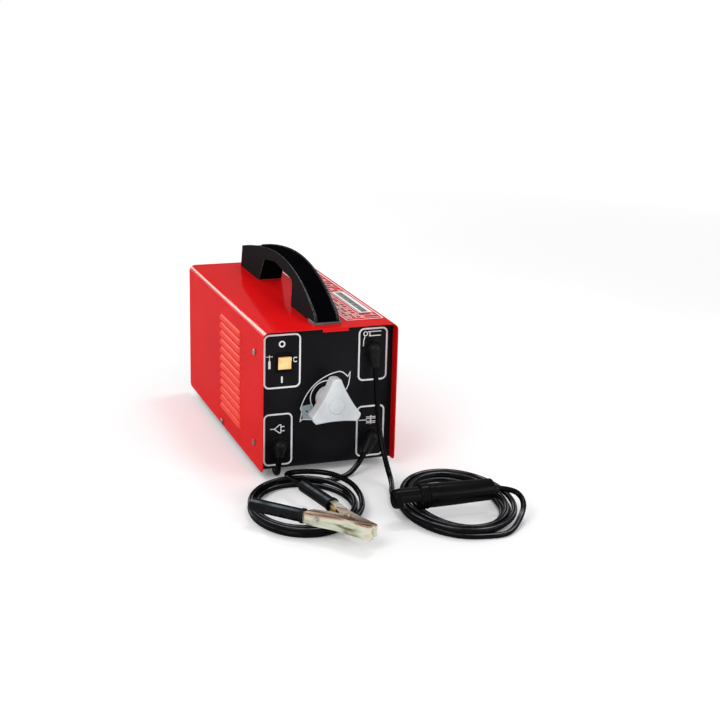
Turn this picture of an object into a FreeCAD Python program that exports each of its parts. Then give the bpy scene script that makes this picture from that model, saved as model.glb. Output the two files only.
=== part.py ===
import FreeCAD, Part
import math
import os

# Transformer stick welder: folded case, current shunt, three leads, holder and earth clamp.
# Millimetres. Front faces -Y, up is +Z, origin under the middle of the base tray.

V = FreeCAD.Vector

# Case
CASE_W = 185.0
CASE_D = 398.0
CASE_H = 191.0
SHEET = 1.2
CORNER_R = 9.4
FOOT_CORNER_R = 7.0
PANEL_RECESS = 16.0
PANEL_T = 1.5
PANEL_FLANGE = 31.0
TRAY_T = 1.5
TRAY_WALL = 14.0
SEAT_GAP = 0.3
LIP_DROP = 4.0
LIP_X = (-12.0, 23.0)

# Louvres in both side walls
LOUVRES = 12
LOUVRE_PITCH = 11.8
LOUVRE_LOW_Z = 27.0
LOUVRE_LEN = 108.0
LOUVRE_Y = -41.0
LOUVRE_R = 11.0
LOUVRE_OUT = 2.6

# Screws and feet
SCREW_SHANK_R = 1.9
SCREW_HEAD_R = 4.0
SCREW_HEAD_H = 2.2
SCREW_LEN = 9.0
HOLE_EASE = 0.1
SIDE_SCREW_Y = 162.0
SIDE_SCREW_Z = (31.0, 155.5)
SILL_SCREW_Y = 4.0
SILL_SCREW_Z = 5.5
PANEL_STUD_X = 60.0
FOOT_X = 64.5
FOOT_Y = 130.0
FOOT_R = 11.0
FOOT_H = 12.0
FOOT_BORE = 7.0
DISH_EASE = 1.5
DISH_H = 1.2

# Handle, side profile
HANDLE_X = 0.0
HANDLE_W = 35.0
HANDLE_RIM = 3.2
HANDLE_DISH = 1.4
HANDLE_TOP = 58.0
HANDLE_TOE_Y = -182.0
HANDLE_HEEL_Y = 177.0
HANDLE_GRIP_Y = (-77.5, 84.0)
HANDLE_GRIP_Z = 40.0
HANDLE_WALL = 3.2
HANDLE_SCREW_Y = (-130.0, 128.0)
HANDLE_BOSS_R = 5.0
HANDLE_BOSS_H = 17.0

# Scale window in the top
WINDOW_IN = 15.0
WINDOW_W = 16.5
WINDOW_Y = (-137.0, -19.0)
WINDOW_T = 2.0
WINDOW_EDGE = 3.0

# Switch in the front panel
SWITCH_IN = 33.7
SWITCH_Z = 144.5
SWITCH_W = 23.0
SWITCH_H = 27.0
SWITCH_RIM = 1.4
SWITCH_DEPTH = 26.0
ROCKER_W = 17.4
ROCKER_H = 19.6
ROCKER_TILT = 9.0
ROCKER_PIN_R = 1.2
ROCKER_AXIS = 1.0
TAB_LEN = 8.0

# Current knob and its screw
KNOB_Z = 92.5
KNOB_R = 35.5
KNOB_WAIST_R = 20.5
KNOB_T = 17.0
KNOB_FRONT = 42.0
KNOB_HUB_R = 16.4
SCREW_R = 5.0
SCREW_LEAD = 10.0
RUN_FIT = 0.06

# Transformer core
CORE_W = 136.0
CORE_H = 152.0
CORE_D = 70.0
CORE_Y = 40.0
LIMB_W = 34.0
CORE_BOLT_R = 3.0
CLAMP_T = 3.0
STUD_NUT_R = 4.0
STUD_NUT_H = 3.2
WINDING_T = 15.0
FORMER_T = 1.2
FORMER_FLANGE = 1.5
WINDING_GAP = 0.4
WINDING_SHY = 0.8

# Magnetic shunt between the windings
SHUNT_H = 28.0
SHUNT_AIR = 0.8
SHUNT_TRAVEL = 80.0
GUIDE_T = 2.2
NUT_R = 11.0
NUT_T = 12.0
POINTER_REACH = 30.0
POINTER_T = 2.0
POINTER_W = 5.0
FLAG_REACH = 6.5

# Cable glands
GLAND_FLANGE_R = 12.5
GLAND_DOME_R = 9.6
GLAND_OUT = 8.0
SPOUT_LEN = 24.0
SPOUT_TIP_R = 5.6
GLAND_IN = 30.0
GLAND_Z = (33.0, 156.0)
MAINS_GLAND_IN = 26.0

# Cords, floor level
WELD_LEAD_R = 3.5
MAINS_LEAD_R = 4.0
LAYER = 7.6
FLOOR = -FOOT_H

# Front fittings and supports of the current screw
BUSH_R = 9.0
BUSH_FLANGE = (12.0, 2.0)
STRAP_T = 2.4
BRACKET_FOOT = 24.0

# Ways the leads leave their glands
HANG = {"mains": (-0.10, -0.15, -0.98), "earth": (-0.55, -0.30, -0.78),
        "electrode": (0.0, -0.21, -0.98)}
MAINS_SPOUT = 14.0

# Mains plug, lying behind the case
PLUG_X = 40.0
PLUG_Y = 349.5
PLUG_R = 18.0
PLUG_BODY = 28.0
PLUG_RELIEF = 25.0
PIN_R = 2.4
PIN_PITCH = 19.0
PIN_LEN = 19.0
PIN_SEAT = 12.0

# Earth clamp: places are the pivot's; local x runs to the tips, local y to the arm with the lead
CLAMP_AT = (-49.7, -405.7)
CLAMP_Z = 12.8
CLAMP_TURN = -62.9
JAW = 44.0
ARM_H = 18.0
INNER_ARM_H = 13.4
ARM_T = 2.0
HANDLE_H = 11.0
EAR_R = 9.0
PIVOT_R = 2.4
SLEEVE_R = 8.2
SLEEVE_FLANGE_R = 9.3
WEB = [(JAW, 8.0), (-6.0, 14.5), (-46.0, 28.5), (-108.0, 46.0)]
CHANNEL = 8.5
SLEEVE_FROM = (-46.0, 24.3)
SLEEVE_TO = (-117.0, 44.4)

# Electrode holder, twist type: lengths run back from its nose
HOLDER_AT = (21.5, -372.5, 19.2)
HOLDER_TURN = -1.5
HOLDER_LEN = 132.0
CAP_LEN = 11.0
NECK_LEN = 23.0
COLLAR_LEN = 11.0
HEAD_R = 12.5
COLLAR_R = 16.0
GRIP_R = (15.0, 13.5)
CORE_TUBE_R = 7.0
CONTACT_R = 8.15
CONTACT_SEAT = 5.0
PLUNGER_R = 4.0
PLUNGER_LEN = 42.0
ROD_GAP = 6.5
BOOT_OUT = 8.0


def box(x, y, z):
    return Part.makeBox(x[1] - x[0], y[1] - y[0], z[1] - z[0], V(x[0], y[0], z[0]))


def rod(radius, start, end):
    a = V(*start)
    d = V(*end) - a
    return Part.makeCylinder(radius, d.Length, a, d)


def tube(outer, inner, start, end):
    a = V(*start)
    d = (V(*end) - a).normalize()
    far = V(*end) + d
    near = a - d
    return rod(outer, start, end).cut(rod(inner, tuple(near), tuple(far)))


def corner(p, q, s, radius):
    # Rounds the corner q between p and s: tangent points and the arc between them.
    a = (p - q).normalize()
    b = (s - q).normalize()
    half = math.acos(max(-1.0, min(1.0, a.dot(b)))) / 2
    back = radius / math.tan(half)
    t0 = q + a * back
    t1 = q + b * back
    mid = (a + b).normalize()
    centre = q + mid * (radius / math.sin(half))
    return t0, centre - mid * radius, t1


def outline(points, radii, closed=True):
    # Straight runs with rounded corners; one radius for all or one for each point.
    pts = [V(*p) for p in points]
    n = len(pts)
    if not isinstance(radii, (list, tuple)):
        radii = [radii] * n
    edges = []
    joints = []
    for i in range(n):
        inner = closed or 0 < i < n - 1
        if inner and radii[i] > 0:
            joints.append(corner(pts[i - 1], pts[i], pts[(i + 1) % n], radii[i]))
        else:
            joints.append((pts[i], None, pts[i]))
    for i in range(n):
        t0, mid, t1 = joints[i]
        if mid is not None:
            edges.append(Part.Arc(t0, mid, t1).toShape())
        if i < n - 1 or closed:
            nxt = joints[(i + 1) % n][0]
            if (nxt - t1).Length > 1e-6:
                edges.append(Part.LineSegment(t1, nxt).toShape())
    return Part.Wire(edges)


def prism(points, radii, direction):
    return Part.Face(outline(points, radii)).extrude(V(*direction))


def mirror_x(shape):
    return shape.mirror(V(0, 0, 0), V(1, 0, 0))


def save(name, shape):
    shape.exportStep("parts/" + name + ".step")
    print(name, "solids", len(shape.Solids), "volume", round(shape.Volume / 1000, 2), "cm3",
          "valid" if shape.isValid() else "NOT VALID")


def screw(point, direction, length, head_r=SCREW_HEAD_R, shank_r=SCREW_SHANK_R, head_h=SCREW_HEAD_H):
    # Pan head whose underside sits at the point; the shank runs along the direction.
    p = V(*point)
    d = V(*direction).normalize()
    head = Part.makeCylinder(head_r, head_h, p - d * head_h, d)
    rim = [e for e in head.Edges if (e.BoundBox.Center - (p - d * head_h)).Length < 0.01]
    head = head.makeFillet(head_h * 0.55, rim)
    shank = Part.makeCylinder(shank_r, length, p, d)
    slot = Part.makeCylinder(1.5, head_h * 0.5, p - d * head_h, d)
    return head.fuse(shank).cut(slot)


# Places that follow from the sizes above
FRONT_Y = -CASE_D / 2
BACK_Y = CASE_D / 2
PANEL_Y = FRONT_Y + PANEL_RECESS
IN_X = CASE_W / 2 - SHEET
IN_Z = CASE_H - SHEET
WINDOW_X = (CASE_W / 2 - WINDOW_IN - WINDOW_W, CASE_W / 2 - WINDOW_IN)
SWITCH_X = SWITCH_IN - CASE_W / 2
GLAND_X = CASE_W / 2 - GLAND_IN
MAINS_GLAND_X = MAINS_GLAND_IN - CASE_W / 2
PANEL_HOLES = [(side, -SIDE_SCREW_Y, z) for side in (-1, 1) for z in SIDE_SCREW_Z]
SILL_HOLES = [(side, SILL_SCREW_Y, SILL_SCREW_Z) for side in (-1, 1)]
FEET = [(x, y) for x in (-FOOT_X, FOOT_X) for y in (-FOOT_Y, FOOT_Y)]
CORE_FRONT = CORE_Y - CORE_D / 2
CORE_BACK = CORE_Y + CORE_D / 2
WINDOW_HALF = CORE_W / 2 - LIMB_W
YOKE_LOW = KNOB_Z - CORE_H / 2 + LIMB_W
YOKE_HIGH = KNOB_Z + CORE_H / 2 - LIMB_W
LIMB_X = CORE_W / 2 - LIMB_W / 2
CORE_BASE = KNOB_Z - CORE_H / 2
BOLTS = [(x, z) for x in (-LIMB_X, LIMB_X)
         for z in (CORE_BASE + LIMB_W / 2, KNOB_Z + CORE_H / 2 - LIMB_W / 2)]


def louvre(radius):
    # Bulge of a shallow scoop whose middle line lies inside the wall.
    x = CASE_W / 2 + LOUVRE_OUT - LOUVRE_R
    z = LOUVRE_LOW_Z
    height = math.sqrt(LOUVRE_R ** 2 - (CASE_W / 2 - x) ** 2)
    y0 = LOUVRE_Y - LOUVRE_LEN / 2 + height
    y1 = LOUVRE_Y + LOUVRE_LEN / 2 - height
    whole = rod(radius, (x, y0, z), (x, y1, z))
    whole = whole.fuse(Part.makeSphere(radius, V(x, y0, z), V(0, 1, 0)))
    whole = whole.fuse(Part.makeSphere(radius, V(x, y1, z), V(0, 1, 0)))
    return whole.removeSplitter()


def cover_sheet(wall_in, y0, y1, foot=0.0):
    half = CASE_W / 2 - wall_in
    top = CASE_H - wall_in
    r = max(CORNER_R - wall_in, 0.5)
    return prism([(-half, y0, foot), (-half, y0, top), (half, y0, top), (half, y0, foot)],
                 [0, r, r, 0], (0, y1 - y0, 0))


def make_cover():
    shell = cover_sheet(0, FRONT_Y, BACK_Y).cut(cover_sheet(SHEET, FRONT_Y - 1, BACK_Y + 1, -1))
    shell = shell.makeFillet(FOOT_CORNER_R, [e for e in shell.Edges if abs(e.BoundBox.Center.z) < 0.01
                                             and abs(abs(e.BoundBox.Center.y) - BACK_Y) < 0.01])
    lip = box(LIP_X, (FRONT_Y, FRONT_Y + SHEET), (IN_Z - LIP_DROP, IN_Z + 0.2))
    shell = shell.fuse(lip)
    inner = louvre(LOUVRE_R - SHEET)
    far = CASE_W / 2 + LOUVRE_R + 1
    upper = box((CASE_W / 2 - SHEET, far), (FRONT_Y, BACK_Y), (LOUVRE_LOW_Z, LOUVRE_LOW_Z + LOUVRE_R + 1))
    hood = louvre(LOUVRE_R).cut(inner).common(upper)
    slot = inner.common(box((CASE_W / 2 - LOUVRE_R - 1, far), (FRONT_Y, BACK_Y),
                            (LOUVRE_LOW_Z, LOUVRE_LOW_Z + LOUVRE_R)))
    hoods = []
    slots = []
    for i in range(LOUVRES):
        up = V(0, 0, i * LOUVRE_PITCH)
        for piece, kept in ((hood, hoods), (slot, slots)):
            moved = piece.copy()
            moved.translate(up)
            kept.append(moved)
            kept.append(mirror_x(moved))
    shell = shell.cut(Part.makeCompound(slots)).fuse(hoods)
    holes = [rod(SCREW_SHANK_R + SEAT_GAP, (side * (IN_X - 2), y, z), (side * (IN_X + 4), y, z))
             for side, y, z in PANEL_HOLES + SILL_HOLES]
    holes += [rod(SCREW_SHANK_R + SEAT_GAP, (HANDLE_X, y, IN_Z - 2), (HANDLE_X, y, CASE_H + 2))
              for y in HANDLE_SCREW_Y]
    holes.append(box(WINDOW_X, WINDOW_Y, (IN_Z - 2, CASE_H + 2)))
    return shell.cut(Part.makeCompound(holes)).removeSplitter()


def side_hole(side, y, z):
    return rod(SCREW_SHANK_R + HOLE_EASE, (side * (IN_X - 5), y, z), (side * (IN_X + 1), y, z))


def make_tray():
    half = IN_X - SEAT_GAP
    y0 = PANEL_Y
    y1 = -PANEL_Y
    floor = box((-half, half), (y0, y1), (0, TRAY_T))
    wall_y = -PANEL_Y - PANEL_FLANGE - 1.0
    for side in (-1, 1):
        x = sorted((side * half, side * (half - TRAY_T)))
        floor = floor.fuse(box(x, (-wall_y, wall_y), (0, TRAY_WALL)))
    holes = []
    for x, y in FEET:
        # A pressed dish locates each foot.
        dish_r = FOOT_R + DISH_EASE
        floor = floor.fuse(rod(dish_r + TRAY_T, (x, y, 0), (x, y, TRAY_T + DISH_H)))
        floor = floor.cut(rod(dish_r, (x, y, -1), (x, y, DISH_H)))
        holes.append(rod(SCREW_SHANK_R + HOLE_EASE, (x, y, -1), (x, y, TRAY_T + DISH_H + 1)))
    for x, y, seat in STUDS:
        holes.append(rod(SCREW_SHANK_R, (x, y, -1), (x, y, TRAY_T + 1)))
    holes += [side_hole(*place) for place in SILL_HOLES]
    for side in (-1, 1):
        for i in range(5):
            y = -70.0 + 50.0 * i
            for x in (20.0, 44.0):
                at = side * x
                holes.append(prism([(at - 2.5, y - 16, -1), (at + 2.5, y - 16, -1),
                                    (at + 2.5, y + 16, -1), (at - 2.5, y + 16, -1)], 2.4, (0, 0, 4)))
    return floor.cut(Part.makeCompound(holes)).removeSplitter()


def pan(cuts):
    # Pressed end panel: a face with four flanges turned back along the case walls.
    half = IN_X - SEAT_GAP
    top = IN_Z - SEAT_GAP
    y0 = PANEL_Y

    def block(inset, start, end):
        r = max(CORNER_R - SHEET - inset, 0.6)
        low = max(2.0 - inset, 0.6)
        return prism([(-half + inset, start, TRAY_T + inset), (-half + inset, start, top - inset),
                      (half - inset, start, top - inset), (half - inset, start, TRAY_T + inset)],
                     [low, r, r, low], (0, end - start, 0))

    body = block(0, y0, y0 + PANEL_FLANGE)
    body = body.cut(block(PANEL_T, y0 + PANEL_T, y0 + PANEL_FLANGE + 1))
    holes = [rod(SCREW_SHANK_R + HOLE_EASE, (x, -PANEL_STUD_Y, 0), (x, -PANEL_STUD_Y, TRAY_T + PANEL_T + 1))
             for x in (-PANEL_STUD_X, PANEL_STUD_X)]
    return body.cut(Part.makeCompound(holes + cuts))


def gland_hole(x, z):
    return rod(GLAND_DOME_R - 1.6, (x, PANEL_Y - 1, z), (x, PANEL_Y + PANEL_T + 1, z))


def make_front_panel():
    w = SWITCH_W / 2 - SWITCH_RIM + SEAT_GAP
    h = SWITCH_H / 2 - SWITCH_RIM + SEAT_GAP
    y = (PANEL_Y - 1, PANEL_Y + PANEL_T + 1)
    cuts = [gland_hole(MAINS_GLAND_X, GLAND_Z[0]), gland_hole(GLAND_X, GLAND_Z[0]),
            gland_hole(GLAND_X, GLAND_Z[1]),
            box((SWITCH_X - w, SWITCH_X + w), y, (SWITCH_Z - h, SWITCH_Z + h)),
            rod(BUSH_R + SEAT_GAP / 3, (0, y[0], KNOB_Z), (0, y[1], KNOB_Z))]
    cuts += [side_hole(*place) for place in PANEL_HOLES]
    return pan(cuts).removeSplitter()


def make_rear_panel():
    body = pan([])
    body = body.mirror(V(0, 0, 0), V(0, 1, 0))
    y = -PANEL_Y
    slots = []
    for i in range(9):
        z = 45.0 + 12.0 * i
        for x in (-38.0, 38.0):
            slots.append(prism([(x - 27, y - 3, z - 2.5), (x + 27, y - 3, z - 2.5),
                                (x + 27, y - 3, z + 2.5), (x - 27, y - 3, z + 2.5)], 2.4, (0, 5, 0)))
    return body.cut(Part.makeCompound(slots)).removeSplitter()


def make_cover_screws():
    return Part.makeCompound([screw((side * CASE_W / 2, y, z), (-side, 0, 0), SCREW_LEN)
                              for side, y, z in PANEL_HOLES + SILL_HOLES])


def make_feet():
    feet = []
    for x, y in FEET:
        foot = Part.makeCone(FOOT_R - 1.5, FOOT_R, FOOT_H + DISH_H, V(x, y, FLOOR))
        foot = foot.makeFillet(1.0, [e for e in foot.Edges if abs(e.BoundBox.Center.z - FLOOR) < 0.01])
        foot = foot.cut(rod(SCREW_HEAD_R + SEAT_GAP, (x, y, FLOOR - 1), (x, y, FLOOR + FOOT_BORE)))
        foot = foot.cut(rod(SCREW_SHANK_R + HOLE_EASE, (x, y, FLOOR), (x, y, DISH_H + 1)))
        feet.append(foot)
    return Part.makeCompound(feet)


def make_foot_screws():
    length = FOOT_H - FOOT_BORE + DISH_H + TRAY_T + 4
    return Part.makeCompound([screw((x, y, FLOOR + FOOT_BORE), (0, 0, 1), length) for x, y in FEET])


def handle_side(x, lowered, width):
    # Side view of the handle: long sloping nose, arched strap and short heel.
    z = CASE_H - lowered
    heel_top = V(x, HANDLE_HEEL_Y - 3, z + 32)
    arch = Part.BSplineCurve()
    arch.interpolate([V(x, HANDLE_TOE_Y + 18, z + 19), V(x, -134, z + 34.6), V(x, -90, z + 49),
                      V(x, -9, z + HANDLE_TOP), V(x, 64, z + 52.5), V(x, 128, z + 42), heel_top])
    toe = V(x, HANDLE_TOE_Y, CASE_H)
    rise = V(x, HANDLE_TOE_Y + 4, z + 8)
    nose = Part.BSplineCurve()
    nose.interpolate([rise, V(x, HANDLE_TOE_Y + 9.5, z + 14.5), V(x, HANDLE_TOE_Y + 18, z + 19)])
    heel = V(x, HANDLE_HEEL_Y, CASE_H)
    edges = [Part.LineSegment(toe, rise).toShape(), nose.toShape(), arch.toShape(),
             Part.LineSegment(heel_top, heel).toShape(), Part.LineSegment(heel, toe).toShape()]
    return Part.Face(Part.Wire(edges)).extrude(V(width, 0, 0))


def handle_gap(x, width):
    y0, y1 = HANDLE_GRIP_Y
    z = CASE_H
    top = HANDLE_GRIP_Z
    points = [(x, y0, z - 5), (x, y0, z + top - 4), (x, y0 + 47, z + top), (x, y0 + 81, z + top + 3.6),
              (x, y1 - 26, z + top - 4), (x, y1, z - 5)]
    return prism(points, [0, 8, 40, 60, 12, 0], (width, 0, 0))


def make_handle():
    x0 = HANDLE_X - HANDLE_W / 2
    body = handle_side(x0 + HANDLE_RIM, HANDLE_DISH, HANDLE_W - 2 * HANDLE_RIM)
    body = body.fuse(handle_side(x0, 0, HANDLE_RIM))
    body = body.fuse(handle_side(x0 + HANDLE_W - HANDLE_RIM, 0, HANDLE_RIM))
    body = body.cut(handle_gap(x0 - 1, HANDLE_W + 2))
    # Draft: both flanks lean in towards the top.
    lean = 2.6
    low = HANDLE_W / 2
    top = CASE_H + HANDLE_TOP + 3
    taper = [(-low, HANDLE_TOE_Y - 1, CASE_H), (-low + lean, HANDLE_TOE_Y - 1, top),
             (low - lean, HANDLE_TOE_Y - 1, top), (low, HANDLE_TOE_Y - 1, CASE_H)]
    body = body.common(prism(taper, 0, (0, HANDLE_HEEL_Y - HANDLE_TOE_Y + 2, 0)))
    w = HANDLE_W / 2 - HANDLE_WALL - lean * 0.6
    y0, y1 = HANDLE_GRIP_Y
    z = CASE_H
    front = prism([(-w, HANDLE_TOE_Y + 14, z - 1), (-w, HANDLE_TOE_Y + 16, z + 9),
                   (-w, -134, z + 27), (-w, y0 - 4, z + 42), (-w, y0 - 4, z - 1)], 0, (2 * w, 0, 0))
    rear = prism([(-w, y1 + 6, z - 1), (-w, y1 - 12, z + 32), (-w, 128, z + 34),
                  (-w, HANDLE_HEEL_Y - 5, z + 25), (-w, HANDLE_HEEL_Y - 4, z - 1)], 0, (2 * w, 0, 0))
    body = body.cut(Part.makeCompound([front, rear]))
    for y in HANDLE_SCREW_Y:
        boss = rod(HANDLE_BOSS_R, (HANDLE_X, y, z), (HANDLE_X, y, z + HANDLE_BOSS_H + 14))
        boss = boss.fuse(box((-w - 0.5, w + 0.5), (y - 1, y + 1), (z, z + HANDLE_BOSS_H + 6)))
        body = body.fuse(boss.common(handle_side(x0 + 1, 4.0, HANDLE_W - 2)))
        bore = rod(SCREW_SHANK_R + HOLE_EASE, (HANDLE_X, y, z - 1), (HANDLE_X, y, z + HANDLE_BOSS_H))
        body = body.cut(bore)
    return body.removeSplitter()


def make_handle_screws():
    return Part.makeCompound([screw((HANDLE_X, y, IN_Z), (0, 0, 1), HANDLE_BOSS_H - 2)
                              for y in HANDLE_SCREW_Y])


def make_window():
    gap = 0.2
    x = (WINDOW_X[0] + gap, WINDOW_X[1] - gap)
    y = (WINDOW_Y[0] + gap, WINDOW_Y[1] - gap)
    pane = box(x, y, (IN_Z - WINDOW_T / 2, CASE_H + 0.4))
    e = WINDOW_EDGE
    flange = box((WINDOW_X[0] - e, WINDOW_X[1] + e), (WINDOW_Y[0] - e, WINDOW_Y[1] + e),
                 (IN_Z - WINDOW_T / 2, IN_Z))
    return pane.fuse(flange).removeSplitter()


# Front panel fittings
KNOB_FACE_Y = FRONT_Y - KNOB_FRONT + PANEL_RECESS
JOURNAL_END_Y = CORE_BACK + 12.0
BRACKET_Y = (CORE_FRONT - CLAMP_T - BRACKET_FOOT / 2, CORE_BACK + CLAMP_T + BRACKET_FOOT / 2)
BRACKET_SCREWS = [(x, y) for x in (-LIMB_X, LIMB_X) for y in BRACKET_Y]
PANEL_STUD_Y = -PANEL_Y - PANEL_FLANGE / 2
STUDS = [(x, y, TRAY_T + CLAMP_T) for x, y in BRACKET_SCREWS]
STUDS += [(x, y, TRAY_T + PANEL_T) for x in (-PANEL_STUD_X, PANEL_STUD_X)
          for y in (-PANEL_STUD_Y, PANEL_STUD_Y)]


def rocker_pin(radius, reach):
    y = PANEL_Y + ROCKER_AXIS
    return rod(radius, (SWITCH_X - reach, y, SWITCH_Z), (SWITCH_X + reach, y, SWITCH_Z))


def make_switch_housing():
    w, h = SWITCH_W / 2, SWITCH_H / 2
    y = PANEL_Y
    rim = prism([(SWITCH_X - w, y - 2, SWITCH_Z - h), (SWITCH_X - w, y - 2, SWITCH_Z + h),
                 (SWITCH_X + w, y - 2, SWITCH_Z + h), (SWITCH_X + w, y - 2, SWITCH_Z - h)], 2.0, (0, 2, 0))
    bw, bh = w - SWITCH_RIM, h - SWITCH_RIM
    body = rim.fuse(box((SWITCH_X - bw, SWITCH_X + bw), (y, y + SWITCH_DEPTH),
                        (SWITCH_Z - bh, SWITCH_Z + bh)))
    rw, rh = ROCKER_W / 2 + 0.3, ROCKER_H / 2 + 0.3
    body = body.cut(box((SWITCH_X - rw, SWITCH_X + rw), (y - 3, y + 9), (SWITCH_Z - rh, SWITCH_Z + rh)))
    return body.cut(rocker_pin(ROCKER_PIN_R + RUN_FIT, rw + 0.9))


def make_rocker():
    # Rocks about an axis along X just behind the rim, with the I end pressed at rest.
    x0 = SWITCH_X - ROCKER_W / 2
    y = PANEL_Y
    h = ROCKER_H / 2 - 1.2
    side = outline([(x0, y - 3.4, SWITCH_Z - h), (x0, y - 2.4, SWITCH_Z), (x0, y - 3.4, SWITCH_Z + h),
                    (x0, y + 3.4, SWITCH_Z + h - 1.6), (x0, y + 6.2, SWITCH_Z),
                    (x0, y + 3.4, SWITCH_Z - h + 1.6)], [0.8, 14, 0.8, 2.0, 6.0, 2.0])
    body = Part.Face(side).extrude(V(ROCKER_W, 0, 0))
    body.rotate(V(0, y + ROCKER_AXIS, SWITCH_Z), V(1, 0, 0), ROCKER_TILT)
    return body.fuse(rocker_pin(ROCKER_PIN_R, ROCKER_W / 2 + 1.1)).removeSplitter()


def make_switch_tabs():
    tabs = []
    for dx in (-5.0, 5.0):
        for dz in (-7.0, 0.0, 7.0):
            x, z = SWITCH_X + dx, SWITCH_Z + dz
            y = PANEL_Y + SWITCH_DEPTH
            tab = box((x - 0.4, x + 0.4), (y, y + TAB_LEN), (z - 2.4, z + 2.4))
            tabs.append(tab.cut(rod(0.8, (x - 1, y + 4.5, z), (x + 1, y + 4.5, z))))
    return Part.makeCompound(tabs)


def make_knob():
    # Three lobes at 120 degrees with hollow flanks, a round hub behind and a dished centre.
    tips = []
    y0 = KNOB_FACE_Y
    for i in range(3):
        a = math.radians(90 + 120 * i)
        b = a + math.radians(60)
        spread = math.radians(9.5)
        for turn in (-spread, spread):
            tips.append(V(KNOB_R * math.cos(a + turn), y0, KNOB_Z + KNOB_R * math.sin(a + turn)))
        tips.append(V(KNOB_WAIST_R * math.cos(b), y0, KNOB_Z + KNOB_WAIST_R * math.sin(b)))
    edges = []
    for i in range(3):
        left, right, waist = tips[3 * i], tips[3 * i + 1], tips[3 * i + 2]
        a = math.radians(90 + 120 * i)
        crown = V((KNOB_R + 0.9) * math.cos(a), y0, KNOB_Z + (KNOB_R + 0.9) * math.sin(a))
        edges.append(Part.Arc(left, crown, right).toShape())
        edges.append(Part.Arc(right, waist, tips[(3 * i + 3) % 9]).toShape())
    star = Part.Face(Part.Wire(edges)).extrude(V(0, KNOB_T, 0))
    star = star.makeFillet(1.6, [e for e in star.Edges if abs(e.BoundBox.Center.y - y0) < 0.01])
    y1 = y0 + KNOB_T
    hub = rod(KNOB_HUB_R, (0, y1 - 1, KNOB_Z), (0, PANEL_Y - 2.6, KNOB_Z))
    body = star.fuse(hub)
    # Hollow back of each lobe
    for i in range(3):
        a = math.radians(90 + 120 * i)
        r = 26.5
        body = body.cut(rod(5.5, (r * math.cos(a), y1 - 12, KNOB_Z + r * math.sin(a)),
                            (r * math.cos(a), y1 + 1, KNOB_Z + r * math.sin(a))))
    body = body.cut(rod(11.0, (0, y0 - 1, KNOB_Z), (0, y0 + 1.6, KNOB_Z)))
    body = body.cut(rod(BUSH_FLANGE[0] + 1.0, (0, PANEL_Y - 5.5, KNOB_Z), (0, PANEL_Y, KNOB_Z)))
    return body.cut(rod(SCREW_R, (0, y0 + 6, KNOB_Z), (0, PANEL_Y, KNOB_Z))).removeSplitter()


def make_knob_cap():
    y0 = KNOB_FACE_Y
    cap = rod(10.8, (0, y0 - 0.4, KNOB_Z), (0, y0 + 1.6, KNOB_Z))
    return cap.makeFillet(0.8, [e for e in cap.Edges if abs(e.BoundBox.Center.y - y0 + 0.4) < 0.01])


def make_bushing():
    r, t = BUSH_FLANGE
    body = rod(r, (0, PANEL_Y - t, KNOB_Z), (0, PANEL_Y, KNOB_Z))
    body = body.fuse(rod(BUSH_R, (0, PANEL_Y, KNOB_Z), (0, PANEL_Y + 9, KNOB_Z)))
    body = body.fuse(rod(r, (0, PANEL_Y + PANEL_T, KNOB_Z), (0, PANEL_Y + PANEL_T + 4, KNOB_Z)))
    bore = SCREW_R + RUN_FIT
    return body.cut(rod(bore, (0, PANEL_Y - 5, KNOB_Z), (0, PANEL_Y + 12, KNOB_Z))).removeSplitter()


def make_lead_screw():
    body = rod(SCREW_R, (0, KNOB_FACE_Y + 6, KNOB_Z), (0, JOURNAL_END_Y, KNOB_Z))
    strap_y = CORE_BACK + CLAMP_T
    for y0, y1 in ((PANEL_Y + 10, PANEL_Y + 13), (strap_y - 2.6, strap_y - SEAT_GAP),
                   (strap_y + STRAP_T + SEAT_GAP, strap_y + STRAP_T + 3)):
        body = body.fuse(rod(SCREW_R + 2.5, (0, y0, KNOB_Z), (0, y1, KNOB_Z)))
    # Worked length: shallow rounded grooves at the thread's lead.
    start = CORE_FRONT - SHUNT_TRAVEL - 16
    grooves = [Part.makeTorus(SCREW_R + 0.5, 1.1, V(0, start + SCREW_LEAD / 2 * i, KNOB_Z), V(0, 1, 0))
               for i in range(int((CORE_BACK - 8 - start) / (SCREW_LEAD / 2)))]
    return body.cut(Part.makeCompound(grooves)).removeSplitter()


def make_screw_bracket():
    # Strap behind the core window that carries the rear end of the lead screw.
    y = CORE_BACK + CLAMP_T
    z0 = YOKE_LOW - 12
    z1 = YOKE_HIGH + 12
    strap = prism([(-13, y, z0), (-13, y, z1), (13, y, z1), (13, y, z0)], 4.0, (0, STRAP_T, 0))
    boss = rod(SCREW_R + 4, (0, y, KNOB_Z), (0, y + STRAP_T, KNOB_Z))
    bore = rod(SCREW_R + RUN_FIT, (0, y - 1, KNOB_Z), (0, y + 4, KNOB_Z))
    return strap.fuse(boss).cut(bore).removeSplitter()


def make_shunt():
    half = WINDOW_HALF - SHUNT_AIR
    h = SHUNT_H / 2
    body = prism([(-half, CORE_FRONT, KNOB_Z - h), (-half, CORE_FRONT, KNOB_Z + h),
                  (half, CORE_FRONT, KNOB_Z + h), (half, CORE_FRONT, KNOB_Z - h)], 1.5, (0, CORE_D, 0))
    return body.cut(rod(SCREW_R + 1.5, (0, CORE_FRONT - 1, KNOB_Z), (0, CORE_BACK + 1, KNOB_Z)))


def make_nut():
    y1 = CORE_FRONT
    y0 = y1 - NUT_T
    body = box((-22, 22), (y1 - 4, y1), (KNOB_Z - 11, KNOB_Z + 11))
    body = body.fuse(rod(NUT_R, (0, y0, KNOB_Z), (0, y1, KNOB_Z)))
    return body.cut(rod(SCREW_R + 0.3, (0, y0 - 1, KNOB_Z), (0, y1 + 1, KNOB_Z))).removeSplitter()


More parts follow.
